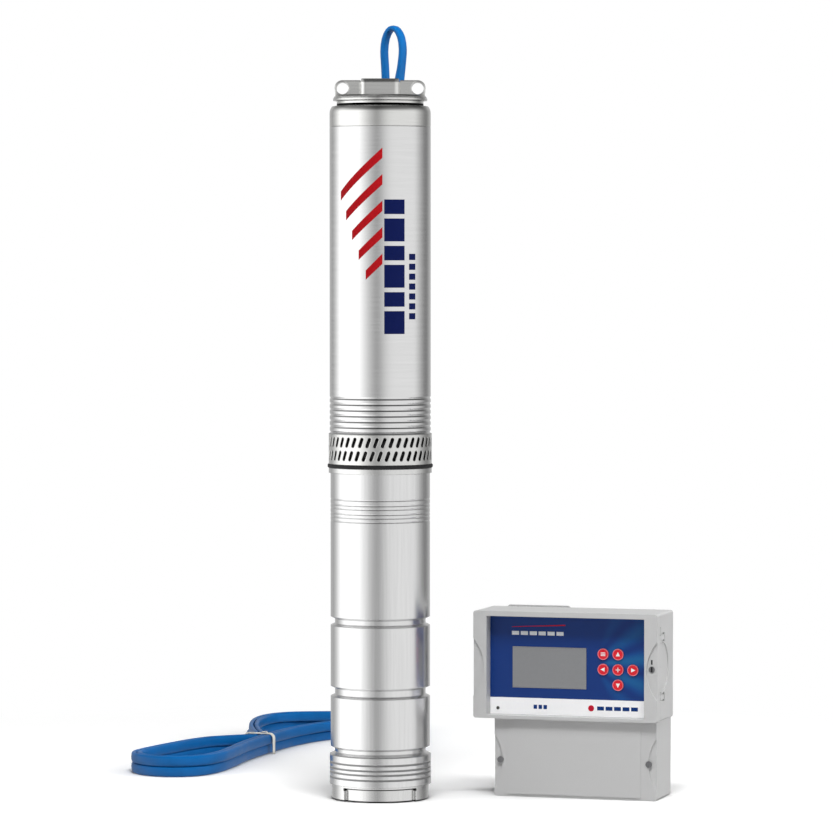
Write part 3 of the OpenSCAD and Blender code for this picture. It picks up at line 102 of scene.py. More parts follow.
class Shader:
    """Builds a node material or world, one node at a time."""

    def __init__(self, tree):
        self.tree = tree
        tree.nodes.clear()

    def add(self, kind, samples=None):
        node = self.tree.nodes.new(kind)
        if samples:
            node.samples = samples
        return node

    def link(self, source, target):
        self.tree.links.new(source, target)

    def feed(self, value, target):
        """Links an output, or sets a plain value."""
        if isinstance(value, bpy.types.NodeSocket):
            self.link(value, target)
        else:
            target.default_value = value

    def math(self, operation, *values):
        node = self.add("ShaderNodeMath")
        node.operation = operation
        for value, target in zip(values, node.inputs):
            self.feed(value, target)
        return node.outputs[0]

    def clamp(self, value):
        return self.math("MINIMUM", self.math("MAXIMUM", value, 0.0), 1.0)

    def distance(self, x, y):
        squares = self.math("ADD", self.math("MULTIPLY", x, x), self.math("MULTIPLY", y, y))
        return self.math("SQRT", squares)

    def ramp(self, factor, stops):
        node = self.add("ShaderNodeValToRGB")
        ramp = node.color_ramp
        while len(ramp.elements) < len(stops):
            ramp.elements.new(0.5)
        for element, (place, colour) in zip(ramp.elements, stops):
            element.position = place
            element.color = colour
        self.link(factor, node.inputs[0])
        return node.outputs[0]

    def grained(self, factor, low, high):
        """One of two colours, or between them, by the grain."""
        return self.ramp(factor, [(GRAIN_LOW, low), (GRAIN_HIGH, high)])

    def mix_colour(self, factor, first, second):
        node = self.add("ShaderNodeMix")
        node.data_type = "RGBA"
        self.link(factor, node.inputs[0])
        self.link(first, node.inputs[MIX_FIRST])
        self.feed(second, node.inputs[MIX_SECOND])
        return node.outputs[MIX_RESULT]

    def mix_shader(self, factor, first, second):
        node = self.add("ShaderNodeMixShader")
        for value, target in zip((factor, first, second), node.inputs):
            self.link(value, target)
        return node.outputs[0]

    def noise(self, scale, stretch=EVEN):
        coords = self.add("ShaderNodeTexCoord")
        mapping = self.add("ShaderNodeMapping")
        mapping.inputs["Scale"].default_value = stretch
        node = self.add("ShaderNodeTexNoise")
        node.inputs["Scale"].default_value = scale
        node.inputs["Detail"].default_value = NOISE_DETAIL
        self.link(coords.outputs["Object"], mapping.inputs["Vector"])
        self.link(mapping.outputs["Vector"], node.inputs["Vector"])
        return node.outputs["Fac"]

    def place(self):
        """The x, y and z of a point in the frame of the whole set."""
        coords = self.add("ShaderNodeTexCoord")
        split = self.add("ShaderNodeSeparateXYZ")
        self.link(coords.outputs["Object"], split.inputs[0])
        return split.outputs

    def bump(self, height, strength, distance=GRAIN_DEPTH):
        node = self.add("ShaderNodeBump")
        node.inputs["Strength"].default_value = strength
        node.inputs["Distance"].default_value = distance
        self.link(height, node.inputs["Height"])
        return node.outputs["Normal"]


def rgb(r, g, b):
    """A colour written as seen, 0 to 255, in linear light."""
    def lin(c):
        c = c / 255.0
        return c / 12.92 if c <= 0.04045 else ((c + 0.055) / 1.055) ** 2.4
    return (lin(r), lin(g), lin(b), 1.0)


def shade(colour, k):
    return (colour[0] * k, colour[1] * k, colour[2] * k, 1.0)


def grey(value):
    return (value, value, value, 1.0)


def new_material(name):
    mat = bpy.data.materials.new(name)
    mat.use_nodes = True
    sh = Shader(mat.node_tree)
    out = sh.add("ShaderNodeOutputMaterial")
    bsdf = sh.add("ShaderNodeBsdfPrincipled")
    sh.link(bsdf.outputs[0], out.inputs["Surface"])
    return mat, sh, bsdf


def finish_of(sh, bsdf, colour, spread, roughness, rough_spread, grain, stretch, bump,
              depth=GRAIN_DEPTH):
    """Colour, roughness and bump varied by one grain."""
    fac = sh.noise(grain, stretch)
    tint = sh.grained(fac, shade(colour, 1 - spread), shade(colour, 1 + spread))
    sh.link(tint, bsdf.inputs["Base Color"])
    rough = sh.grained(fac, grey(max(0.0, roughness - rough_spread)), grey(roughness + rough_spread))
    sh.link(rough, bsdf.inputs["Roughness"])
    sh.link(sh.bump(fac, bump, depth), bsdf.inputs["Normal"])


# ---------------------------------------------------------------- materials

# Grain drawn out round the axis, as turning leaves it, and along the axis
TURNED = (1.0, 1.0, 30.0)
DRAWN = (24.0, 24.0, 0.6)
METAL_SPREAD = 0.03
METAL_ROUGH_SPREAD = 0.03
METAL_BUMP = 0.05
PLASTIC_ROUGH_SPREAD = 0.04


def metal(name, colour, roughness, grain, stretch=EVEN, bump=METAL_BUMP):
    mat, sh, bsdf = new_material(name)
    bsdf.inputs["Metallic"].default_value = 1.0
    finish_of(sh, bsdf, colour, METAL_SPREAD, roughness, METAL_ROUGH_SPREAD, grain, stretch, bump)
    return mat


def plastic(name, colour, roughness, grain, bump=0.08, spread=0.015, specular=0.5):
    mat, sh, bsdf = new_material(name)
    bsdf.inputs["Specular IOR Level"].default_value = specular
    finish_of(sh, bsdf, colour, spread, roughness, PLASTIC_ROUGH_SPREAD, grain, EVEN, bump)
    return mat


def ink(name, colour):
    return plastic(name, colour, 0.5, 300.0, 0.01, specular=0.15)


def rubber(name, colour):
    return plastic(name, colour, 0.6, 500.0, 0.15, spread=0.1, specular=0.3)


def lead_sheath():
    """Glossy blue sheath with the faint unevenness of an extruded cable."""
    mat, sh, bsdf = new_material("blue_lead")
    finish_of(sh, bsdf, rgb(9, 99, 168), spread=0.06, roughness=0.4, rough_spread=0.04, grain=60.0,
              stretch=EVEN, bump=0.1, depth=0.0003)
    bsdf.inputs["Specular IOR Level"].default_value = 0.3
    return mat


def coils():
    """Enamelled copper wire wound up and down the slots."""
    mat, sh, bsdf = new_material("copper_winding")
    bsdf.inputs["Metallic"].default_value = 0.85
    finish_of(sh, bsdf, rgb(178, 96, 44), spread=0.25, roughness=0.35, rough_spread=0.06, grain=60.0,
              stretch=(14, 14, 1), bump=0.6, depth=0.0006)
    return mat


# Where shade is painted into a metal's recesses: inside a radius from the pump's axis, above one height,
# below another
CAP_WINDOW_SHADE = (0.0436, -0.1, 0.0131)
BAND_GROOVE_SHADE = (0.0491, -0.1, 0.0434)
HEAD_NECK_SHADE = (0.0452, 0.6682, 0.6741)
INLET_SLOT_SHADE = (0.0496, 0.3, 0.4)
# Height under which shade is painted on the end cap's bottom edge, and a height that paints none
CAP_SOLE_SHADE = 0.0014
NO_SOLE_SHADE = -1.0
RECESS_ROUGHNESS = 0.6
WORN_EDGE = 0.0011
HEAD_EDGE = 0.002
WORN_SAMPLES = 6


def painted_shade_mask(sh, recess, sole_shade_height):
    """1 where shade is painted, in the recess and under the sole's height; 0 elsewhere."""
    radius, low, high = recess
    x, y, z = sh.place()
    shaded = sh.math("LESS_THAN", sh.distance(x, y), radius)
    shaded = sh.math("MULTIPLY", shaded, sh.math("GREATER_THAN", z, low))
    shaded = sh.math("MULTIPLY", shaded, sh.math("LESS_THAN", z, high))
    return sh.math("MAXIMUM", shaded, sh.math("LESS_THAN", z, sole_shade_height))


def metal_with_painted_shade(name, colour, roughness, grain, stretch, recess, shade_tone, edge=WORN_EDGE, sole_shade_height=NO_SOLE_SHADE):
    """Polished metal with worn edges; its recesses and sole get painted shade, a flat dark grey."""
    mat, sh, bsdf = new_material(name)
    bsdf.inputs["Metallic"].default_value = 1.0
    fac = sh.noise(grain, stretch)
    polished = sh.grained(fac, shade(colour, 1 - METAL_SPREAD), shade(colour, 1 + METAL_SPREAD))
    shaded = painted_shade_mask(sh, recess, sole_shade_height)
    # Painted shade: the recesses and the sole take a dark grey in place of the polished colour
    sh.link(sh.mix_colour(shaded, polished, rgb(shade_tone, shade_tone, shade_tone)), bsdf.inputs["Base Color"])
    rough = sh.ramp(shaded, [(0.0, grey(roughness)), (1.0, grey(RECESS_ROUGHNESS))])
    sh.link(rough, bsdf.inputs["Roughness"])
    normal = sh.bump(fac, METAL_BUMP)
    worn = sh.add("ShaderNodeBevel", samples=WORN_SAMPLES)
    worn.inputs["Radius"].default_value = edge
    sh.link(worn.outputs[0], normal.node.inputs["Normal"])
    sh.link(normal, bsdf.inputs["Normal"])
    return mat


def laminations():
    """Thin steel sheets stacked along the shaft."""
    mat, sh, bsdf = new_material("lamination")
    bsdf.inputs["Metallic"].default_value = 0.7
    finish_of(sh, bsdf, rgb(96, 98, 104), spread=0.2, roughness=0.5, rough_spread=0.05, grain=30.0,
              stretch=(0.2, 0.2, 60), bump=0.5, depth=0.0004)
    return mat


TRACK_LINES = 1800.0
TRACK_ROWS = 2300.0
TRACK_SHARE = 0.55


def circuit_board():
    """Green lacquer with lighter tracks."""
    mat, sh, bsdf = new_material("circuit_board")
    x, _, z = sh.place()
    lines = sh.math("SINE", sh.math("MULTIPLY", x, TRACK_LINES))
    rows = sh.math("SINE", sh.math("MULTIPLY", z, TRACK_ROWS))
    mask = sh.math("GREATER_THAN", sh.math("MULTIPLY", lines, rows), TRACK_SHARE)
    sh.link(sh.ramp(mask, [(0.0, rgb(16, 74, 46)), (1.0, rgb(48, 118, 78))]), bsdf.inputs["Base Color"])
    bsdf.inputs["Roughness"].default_value = 0.35
    sh.link(sh.bump(mask, 0.2), bsdf.inputs["Normal"])
    return mat


# The foil's rays: where they start, waves in a turn, start and speed of their fading in, half angle
RAYS_X = 0.1960
RAYS_Z = 0.1300
RAYS = 13.0
RAYS_CLEAR = 0.009
RAYS_FADE = 120.0
RAYS_FAN = 1.25
# The top of the foil's pale strip
STRIP_Z = 0.0960


def ray_amount(sh, x, z):
    """1 on a ray, 0 between rays and away from their fan."""
    dx = sh.math("SUBTRACT", x, RAYS_X)
    dz = sh.math("SUBTRACT", z, RAYS_Z)
    angle = sh.math("ARCTAN2", dz, dx)
    wave = sh.math("SINE", sh.math("MULTIPLY", angle, RAYS))
    rays = sh.math("ADD", sh.math("MULTIPLY", wave, 0.5), 0.5)
    begin = sh.clamp(sh.math("MULTIPLY", sh.math("SUBTRACT", x, RAYS_X + RAYS_CLEAR), RAYS_FADE))
    spread = sh.clamp(sh.math("SUBTRACT", RAYS_FAN, sh.math("ABSOLUTE", angle)))
    return sh.math("MULTIPLY", sh.math("MULTIPLY", rays, begin), spread)


def key_foil():
    """Printed foil: blue above with lighter rays fanning to the right, and a pale strip below."""
    mat, sh, bsdf = new_material("key_foil")
    x, _, z = sh.place()
    blues = [(0.0, rgb(14, 52, 120)), (0.5, rgb(16, 74, 140)), (1.0, rgb(24, 94, 150))]
    blue = sh.ramp(ray_amount(sh, x, z), blues)
    grain = sh.noise(700.0)
    pale = sh.grained(grain, rgb(252, 252, 254), rgb(255, 255, 255))
    above = sh.math("GREATER_THAN", z, STRIP_Z)
    sh.link(sh.mix_colour(above, pale, blue), bsdf.inputs["Base Color"])
    bsdf.inputs["Roughness"].default_value = 0.4
    bsdf.inputs["Specular IOR Level"].default_value = 0.25
    sh.link(sh.bump(grain, 0.04), bsdf.inputs["Normal"])
    return mat


def make_materials():
    steel = rgb(224, 224, 224)
    return {
        # The end cap's windows and bottom edge get painted shade
        "cast_stainless": metal_with_painted_shade("cast_stainless", rgb(220, 220, 219), 0.24, 30.0, DRAWN,
                                   CAP_WINDOW_SHADE, shade_tone=60, sole_shade_height=CAP_SOLE_SHADE),
        "bracket_casting": plastic("bracket_casting", rgb(30, 30, 31), 0.5, 300.0, specular=0.3),
        "dark_screw": metal("dark_screw", rgb(126, 126, 128), 0.42, 120.0),
        # The motor's band grooves get painted shade
        "motor_steel": metal_with_painted_shade("motor_steel", steel, 0.24, 22.0, DRAWN,
                                BAND_GROOVE_SHADE, shade_tone=172),
        "sleeve_steel": metal("sleeve_steel", steel, 0.22, 20.0, TURNED, 0.03),
        # The outlet head's neck gets painted shade, near black
        "head_steel": metal_with_painted_shade("head_steel", rgb(222, 222, 220), 0.2, 20.0, TURNED,
                               HEAD_NECK_SHADE, shade_tone=3, edge=HEAD_EDGE),
        # The strainer's inside faces get painted shade, so that its slots look dark
        "strainer_steel": metal_with_painted_shade("strainer_steel", rgb(220, 220, 218), 0.24, 30.0, DRAWN,
                                   INLET_SLOT_SHADE, shade_tone=34),
        "guard_steel": metal("guard_steel", rgb(218, 218, 218), 0.24, 26.0, DRAWN),
        "shaft_steel": metal("shaft_steel", rgb(206, 206, 208), 0.18, 30.0, TURNED),
        "bearing_steel": metal("bearing_steel", rgb(150, 154, 162), 0.3, 40.0, TURNED),
        "fastener_steel": metal("fastener_steel", rgb(176, 176, 178), 0.28, 120.0),
        "spring_steel": metal("spring_steel", rgb(196, 196, 198), 0.22, 200.0),
        "lamination": laminations(),
        "magnet": metal("magnet", rgb(88, 90, 96), 0.34, 160.0, bump=0.15),
        "copper_winding": coils(),
        "bronze": metal("bronze", rgb(176, 130, 72), 0.3, 90.0, bump=0.1),
        "black_rubber": rubber("black_rubber", rgb(30, 30, 31)),
        "valve_rubber": rubber("valve_rubber", rgb(52, 52, 56)),
        "stage_plastic": plastic("stage_plastic", rgb(196, 192, 180), 0.5, 300.0),
        "bush_carbon": plastic("bush_carbon", rgb(44, 44, 48), 0.4, 400.0),
        "blue_lead": lead_sheath(),
        "tie_plastic": plastic("tie_plastic", rgb(236, 233, 222), 0.4, 500.0),
        "grey_plastic": plastic("grey_plastic", rgb(198, 198, 198), 0.5, 1100.0),
        "bracket_metal": plastic("bracket_metal", rgb(178, 178, 178), 0.5, 200.0),
        "key_foil": key_foil(),
        "red_key": plastic("red_key", rgb(222, 26, 44), 0.3, 500.0, 0.03, specular=0.3),
        "display_glass": plastic("display_glass", rgb(134, 135, 137), 0.22, 300.0, 0.01),
        "circuit_board": circuit_board(),
        "heatsink_alloy": metal("heatsink_alloy", rgb(196, 198, 200), 0.36, 60.0, DRAWN, 0.1),
        "terminal_plastic": plastic("terminal_plastic", rgb(46, 120, 84), 0.42, 500.0),
        "lock_plastic": plastic("lock_plastic", rgb(104, 104, 106), 0.4, 500.0),
        "plug_plastic": plastic("plug_plastic", rgb(188, 188, 188), 0.5, 900.0),
    }


def dress_nodes(mats):
    for part in frame["record"]["subparts"]:
        obj = NODES[part["node"]]
        for slot in obj.material_slots:
            slot.material = mats[part["material_slot"]]


# ---------------------------------------------------------------- mesh helpers

def piece(name, shape, mats, body, smooth=True, picks=None):
    """A mesh on a body; shape is its points and faces, picks the material of each face."""
    verts, faces = shape
    mesh = bpy.data.meshes.new(name)
    mesh.from_pydata([tuple(v) for v in verts], [], faces)
    for mat in mats:
        mesh.materials.append(mat)
    for i, face in enumerate(mesh.polygons):
        face.use_smooth = smooth
        if picks:
            face.material_index = picks[i]
    mesh.validate()
    obj = link_object(name, mesh)
    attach(obj, body)
    return obj


def at_pump(x, y, z):
    """A point of the pump's own frame, in the frame of the whole set."""
    return RIGHT * x - NEAR * y + Vector((0, 0, z))


def circle(radius, count):
    """Points round a circle, as pairs."""
    turns = [2 * math.pi * i / count for i in range(count)]
    return [(radius * math.cos(t), radius * math.sin(t)) for t in turns]


def skin(rings, joined_up=False):
    """Points and faces of the wall through rings of equal count."""
    n = len(rings[0])
    faces = []
    for i in range(len(rings) if joined_up else len(rings) - 1):
        a = i * n
        b = (i + 1) % len(rings) * n
        for j in range(n):
            k = (j + 1) % n
            faces.append((a + j, a + k, b + k, b + j))
    return [p for ring in rings for p in ring], faces


def sweep(rings):
    """A tube through rings, with flat ends."""
    verts, faces = skin(rings)
    n = len(rings[0])
    first = tuple(reversed(range(n)))
    last = tuple(range(len(verts) - n, len(verts)))
    return verts, [first] + faces + [last]


def joined(shapes):
    """Several shapes as one."""
    verts = []
    faces = []
    for v, f in shapes:
        base = len(verts)
        verts += v
        faces += [tuple(i + base for i in face) for face in f]
    return verts, faces


# ---------------------------------------------------------------- lead

# The flat lead's width and thickness, points round it, and distance between its sections
LEAD_W = 0.0105
LEAD_T = 0.0055
LEAD_SIDES = 20
LEAD_STEP = 0.005
# How square the section is across and through, and the furrows beside its middle core
SQUARE_W = 0.85
SQUARE_T = 0.72
FURROW_X = 0.0018
FURROW_WIDTH = 0.0006
FURROW_DEPTH = 0.07

# Points of the lead in the pump's frame: x, y, z, heading and tilt of its wide side
LEAD_ROUTE = [
    (0.0158, 0.0518, 0.6647, -17, 0), (0.0160, 0.0520, 0.6760, -10, 0), (0.0170, 0.0520, 0.6880, 10, 0),
    (0.0186, 0.0520, 0.7000, 35, 0), (0.0206, 0.0510, 0.7140, 52, 0), (0.0218, 0.0503, 0.7290, 56, 0),
    (0.0202, 0.0515, 0.7410, 56, 0), (0.0165, 0.0540, 0.7482, 56, 0), (0.0127, 0.0566, 0.7503, 56, 0),
    (0.0086, 0.0594, 0.7480, 56, 0), (0.0050, 0.0618, 0.7400, 56, 0), (0.0036, 0.0628, 0.7280, 56, 0),
    (0.0044, 0.0632, 0.7120, 56, 0), (0.0050, 0.0640, 0.6900, 56, 0), (0.0040, 0.0660, 0.6500, 50, 0),
    (0.0030, 0.0680, 0.5900, 45, 0), (0.0020, 0.0700, 0.5000, 35, 0), (0.0010, 0.0720, 0.4000, 25, 0),
    (0.0000, 0.0740, 0.3000, 15, 0), (0.0000, 0.0760, 0.2000, 8, 0), (0.0000, 0.0780, 0.1100, 0, 0),
    (0.0000, 0.0820, 0.0550, 0, 0), (0.0010, 0.0940, 0.0220, 0, 0), (0.0020, 0.1160, 0.0075, 0, 0),
    (0.0040, 0.1450, 0.0035, 0, 0), (0.0080, 0.1850, 0.0029, 0, 0), (0.0130, 0.2350, 0.0030, 0, 0),
    (0.0190, 0.2900, 0.0038, 0, 10), (0.0250, 0.3450, 0.0051, 0, 30), (0.0310, 0.4000, 0.0060, 0, 60),
    (0.0360, 0.4550, 0.0054, 0, 90), (0.0390, 0.5100, 0.0053, 0, 90), (0.0400, 0.5600, 0.0053, 0, 90),
    (0.0390, 0.5880, 0.0053, 0, 90),
]

# One turn of the hank, seen from above, and the end of the lead
HANK_TURN = [
    (0.036, 0.610), (0.014, 0.629), (-0.024, 0.634), (-0.065, 0.634), (-0.108, 0.627),
    (-0.135, 0.600), (-0.147, 0.555), (-0.149, 0.505), (-0.145, 0.455), (-0.140, 0.415),
    (-0.145, 0.391), (-0.163, 0.382), (-0.189, 0.365), (-0.210, 0.335), (-0.228, 0.300),
    (-0.245, 0.264), (-0.257, 0.228), (-0.250, 0.197), (-0.230, 0.176), (-0.204, 0.171),
    (-0.178, 0.186), (-0.161, 0.220), (-0.150, 0.265), (-0.141, 0.310), (-0.131, 0.348),
    (-0.120, 0.385), (-0.107, 0.423), (-0.090, 0.465), (-0.062, 0.512), (-0.027, 0.543),
    (0.010, 0.561), (0.033, 0.582),
]
LEAD_TAIL = [
    (0.0345, 0.604, 0.0158, 0, 90), (0.0375, 0.624, 0.0158, 0, 90), (0.0350, 0.640, 0.0145, 0, 90),
    (0.0310, 0.660, 0.0105, 0, 90), (0.0260, 0.684, 0.0059, 0, 90),
]
TURN_PITCH = 0.0057
LAYERS = 2
LAYER_TURNS = 2
LAYER_Z = (0.00525, 0.01575)
# Turns after which the lead climbs onto its lower layer, and turns that the climb takes
CLIMB_START = 1.93
CLIMB_TURNS = 0.14
STAND_UP = 90


def ease(u):
    u = min(1.0, max(0.0, u))
    return u * u * (3 - 2 * u)


def smooth_point(a, b, c, d, t):
    """A point from b towards c, on the smooth curve through all four."""
    return [0.5 * (2 * q + (r - p) * t + (2 * p - 5 * q + 4 * r - s) * t * t
                   + (3 * q - p - 3 * r + s) * t ** 3) for p, q, r, s in zip(a, b, c, d)]


def hank_points():
    """Two turns inwards on the floor, then two outwards on top of them."""
    n = len(HANK_TURN)
    turns = LAYERS * LAYER_TURNS
    points = []
    for i in range(turns * n):
        before, here, after = (Vector(HANK_TURN[(i + k) % n]) for k in (-1, 0, 1))
        along = (after - before).normalized()
        u = i / n
        inset = TURN_PITCH * (u if u < LAYER_TURNS else turns - u)
        # The turn runs against the clock, so its inside is on its left
        spot = here + Vector((-along.y, along.x)) * inset
        climb = ease((u - CLIMB_START) / CLIMB_TURNS)
        z = LAYER_Z[0] + (LAYER_Z[1] - LAYER_Z[0]) * climb
        points.append((spot.x, spot.y, z, 0, STAND_UP))
    return points


def lead_line():
    """Centre points with heading and tilt, one step apart."""
    control = LEAD_ROUTE + hank_points() + LEAD_TAIL
    last = len(control) - 1
    line = []
    for i in range(last):
        a, b, c, d = (control[max(0, min(last, i + k))] for k in (-1, 0, 1, 2))
        steps = max(2, round((Vector(c[:3]) - Vector(b[:3])).length / LEAD_STEP))
        line += [smooth_point(a, b, c, d, k / steps) for k in range(steps)]
    line.append(list(control[-1]))
    return line


def lead_section():
    """Flat section with round sides and two faint furrows between its cores."""
    points = []
    for c, s in circle(1, LEAD_SIDES):
        x = math.copysign(abs(c) ** SQUARE_W, c) * LEAD_W / 2
        y = math.copysign(abs(s) ** SQUARE_T, s) * LEAD_T / 2
        furrow = math.exp(-((abs(x) - FURROW_X) / FURROW_WIDTH) ** 2)
        points.append((x, y * (1 - FURROW_DEPTH * furrow)))
    return points


def lead_rings(line):
    """The section at each centre point, turned to its heading and tilt."""
    section = lead_section()
    rings = []
    for i, (x, y, z, heading, tilt) in enumerate(line):
        a = Vector(line[max(0, i - 1)][:3])
        b = Vector(line[min(len(line) - 1, i + 1)][:3])
        along = (b - a).normalized()
        h = math.radians(heading)
        s = math.radians(tilt)
        wide = Vector((math.cos(s) * math.cos(h), math.cos(s) * math.sin(h), math.sin(s)))
        wide = (wide - along * wide.dot(along)).normalized()
        thin = along.cross(wide)
        centre = Vector((x, y, z))
        ring = [centre + wide * p + thin * q for p, q in section]
        rings.append([at_pump(*p) for p in ring])
    return rings


def make_lead(mats):
    line = lead_line()
    lead = piece("lead", sweep(lead_rings(line)), [mats["blue_lead"]], "set")
    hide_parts("free_cord", "cord_hank", "cord_end")
    path = [tuple(at_pump(*p[:3])) for p in line]
    length = sum((Vector(a) - Vector(b)).length for a, b in zip(path, path[1:]))
    return lead, path, length


CORE_SIDES = 14
CORE_SHADES = [rgb(38, 38, 40), rgb(92, 58, 36), rgb(120, 122, 124)]
CORE_HEADING = 11.8
CORE_START = (0.026, 0.684, 0.0059)
CORE_PITCH = 0.0032
CORE_FAN = 0.0016
# Along a core: distance, radius, and 0 for its sheath or 1 for its ferrule from there on
CORE_PROFILE = [
    (0.0, 0.0, 0), (0.0, 0.0013, 0), (0.0215, 0.0013, 0), (0.0215, 0.0015, 1),
    (0.0235, 0.0014, 1), (0.0240, 0.0009, 1), (0.0300, 0.0009, 1), (0.0300, 0.0, 1),
]
POINT_RADIUS = 0.00001


def make_cores(mats):
    """Three cores bared for the joint, each with its ferrule."""
    made = []
    angle = math.radians(CORE_HEADING)
    along = Vector((-math.sin(angle), math.cos(angle), 0))
    picks = [row[2] for row in CORE_PROFILE[:-1] for _ in range(CORE_SIDES)]
    for i, colour in enumerate(CORE_SHADES):
        sheath = plastic("core_%d" % i, colour, 0.4, 500.0)
        x, y, z = CORE_START
        start = Vector((x, y, z + CORE_PITCH * (i - 1)))
        fan = Vector((math.cos(angle), math.sin(angle), 0)) * CORE_FAN * (i - 1)
        made.append(piece("lead_core_%d" % i, core_shape(start, along, fan),
                          [sheath, mats["fastener_steel"]], "set", picks=picks))
    return made


def core_shape(start, along, fan):
    """A core along its heading; it drifts by fan over its length."""
    side = Vector((0, 0, 1))
    other = along.cross(side).normalized()
    reach = CORE_PROFILE[-1][0]
    rings = []
    for t, r, _ in CORE_PROFILE:
        middle = start + along * t + fan * (t / reach) ** 2
        r = max(r, POINT_RADIUS)
        rings.append([at_pump(*(middle + (side * c + other * q) * r)) for c, q in circle(1, CORE_SIDES)])
    return skin(rings)


# The tie over the hank's waist: middle, heading, half span, height, width and lowest point
TIE_CENTRE = Vector((-0.1317, 0.3902))
TIE_ANGLE = math.radians(-19)
TIE_ACROSS = Vector((math.cos(TIE_ANGLE), math.sin(TIE_ANGLE)))
TIE_ALONG = Vector((-math.sin(TIE_ANGLE), math.cos(TIE_ANGLE)))
TIE_HALF = 0.0159
TIE_HEIGHT = 0.0219
TIE_WIDTH = 0.0056
TIE_FLOOR = 0.0002
# The strap's straight sides, drop under the tie's height, corners, and their steps
STRAP_RISE = 0.0174
STRAP_DROP = 0.001
STRAP_CURVE = 0.0042
STRAP_STEPS = 6
CURVE_STEPS = 8
TOP_STEPS = 8
# Across the strap: share of its half width, and how far it stands out
STRAP_SECTION = [(-1, 0.0001), (-1, 0.0009), (-0.75, 0.0014), (0.75, 0.0014), (1, 0.0009), (1, 0.0001)]
# The tie's lock: place across its middle, height and half width; then shares along and up
TIE_LOCK_RINGS = [(-0.003, 0.0, 0.0024), (-0.003, 0.0022, 0.0022), (-0.0022, 0.003, 0.0018),
                  (0.0022, 0.003, 0.0018), (0.003, 0.0022, 0.0022), (0.003, 0.0, 0.0024)]
TIE_LOCK_SHARES = [(1, 0.85), (0.6, 1.0), (-0.6, 1.0), (-1, 0.85)]
TIE_LOCK_OFFSET = 0.006
TIE_LOCK_SINK = 0.0012


def at_tie(across, along, z):
    flat = TIE_CENTRE + TIE_ACROSS * across + TIE_ALONG * along
    return at_pump(flat.x, flat.y, z)


def make_tie(mats):
    """Strap over the hank's waist, with its lock."""
    rings = []
    for x, z, nx, nz in strap_outline():
        rings.append([at_tie(x + nx * t, s * TIE_WIDTH / 2, max(TIE_FLOOR, z + nz * t))
                      for s, t in STRAP_SECTION])
    strap = piece("tie_strap", sweep(rings), [mats["tie_plastic"]], "set")
    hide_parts("hank_tie")
    return [strap, tie_head(mats)]


def strap_outline():
    """Up one side, over the top and down the other: place and outward direction."""
    top = TIE_HEIGHT - STRAP_DROP
    bend = TIE_HALF - STRAP_CURVE
    corner = [math.pi / 2 * i / CURVE_STEPS for i in range(1, CURVE_STEPS)]
    corner = [(math.cos(a), math.sin(a)) for a in corner]
    side = [STRAP_RISE * i / STRAP_STEPS for i in range(STRAP_STEPS + 1)]
    points = [(TIE_HALF, TIE_FLOOR + z, 1, 0) for z in side]
    for c, s in corner:
        points.append((bend + STRAP_CURVE * c, top - STRAP_CURVE + STRAP_CURVE * s, c, s))
    points += [(bend * (1 - 2 * i / TOP_STEPS), top, 0, 1) for i in range(TOP_STEPS + 1)]
    for s, c in corner:
        points.append((-bend - STRAP_CURVE * c, top - STRAP_CURVE + STRAP_CURVE * s, -c, s))
    points += [(-TIE_HALF, TIE_FLOOR + z, -1, 0) for z in reversed(side)]
    return points


def tie_head(mats):
    """The lock of the tie: a small chamfered block on top of the strap."""
    base = TIE_HEIGHT - TIE_LOCK_SINK
    rings = [[at_tie(x + TIE_LOCK_OFFSET, s * w, base + z * lift) for s, lift in TIE_LOCK_SHARES]
             for x, z, w in TIE_LOCK_RINGS]
    return piece("tie_head", sweep(rings), [mats["tie_plastic"]], "set", smooth=False)


# ---------------------------------------------------------------- print on the sleeve

PRINT_RADIUS = 0.04906
PATCH_CELLS = 10
# Sides are degrees from the pump's front, the rest heights
STRIPES = 5
STRIPE_TOP = 0.5860
STRIPE_PITCH = 0.0190
STRIPE_LEFT = -50
STRIPE_STEP = 8.5
STRIPE_RIGHT = 3
STRIPE_SLOPE = 0.00075
STRIPE_THIN_END = (-0.0060, 0.0030)
STRIPE_WIDE_END = (-0.0050, 0.0050)
BLOCK_SIDES = (5, 29)
BLOCK_BASE = 0.4520
BLOCK_HEIGHTS = (0.022, 0.014) * 3
BLOCK_GAP = 0.0042
DASH_SIDES = (35, 44)
DASH_BASE = 0.4660
DASH_PITCH = 0.0095
DASH_HEIGHT = 0.0060
DASHES = 7


def wrapped(corners):
    """A four-cornered patch on the sleeve; corners are (degrees from the front, height)."""
    (a0, z0), (a1, z1), (a2, z2), (a3, z3) = corners
    shares = [i / PATCH_CELLS for i in range(PATCH_CELLS + 1)]
    verts = []
    for u in shares:
        for v in shares:
            a = (a0 * (1 - u) + a1 * u) * (1 - v) + (a3 * (1 - u) + a2 * u) * v
            z = (z0 * (1 - u) + z1 * u) * (1 - v) + (z3 * (1 - u) + z2 * u) * v
            t = math.radians(a)
            verts.append(at_pump(PRINT_RADIUS * math.sin(t), -PRINT_RADIUS * math.cos(t), z))
    row = PATCH_CELLS + 1
    firsts = [i * row + j for i in range(PATCH_CELLS) for j in range(PATCH_CELLS)]
    return verts, [(p, p + row, p + row + 1, p + 1) for p in firsts]


def upright(sides, low, high):
    left, right = sides
    return wrapped([(left, low), (right, low), (right, high), (left, high)])


def stripe(i):
    left = STRIPE_LEFT + STRIPE_STEP * i
    z = STRIPE_TOP - STRIPE_PITCH * i
    end = z + STRIPE_SLOPE * (STRIPE_RIGHT - left)
    return wrapped([(left, z + STRIPE_THIN_END[0]), (STRIPE_RIGHT, end + STRIPE_WIDE_END[0]),
                    (STRIPE_RIGHT, end + STRIPE_WIDE_END[1]), (left, z + STRIPE_THIN_END[1])])


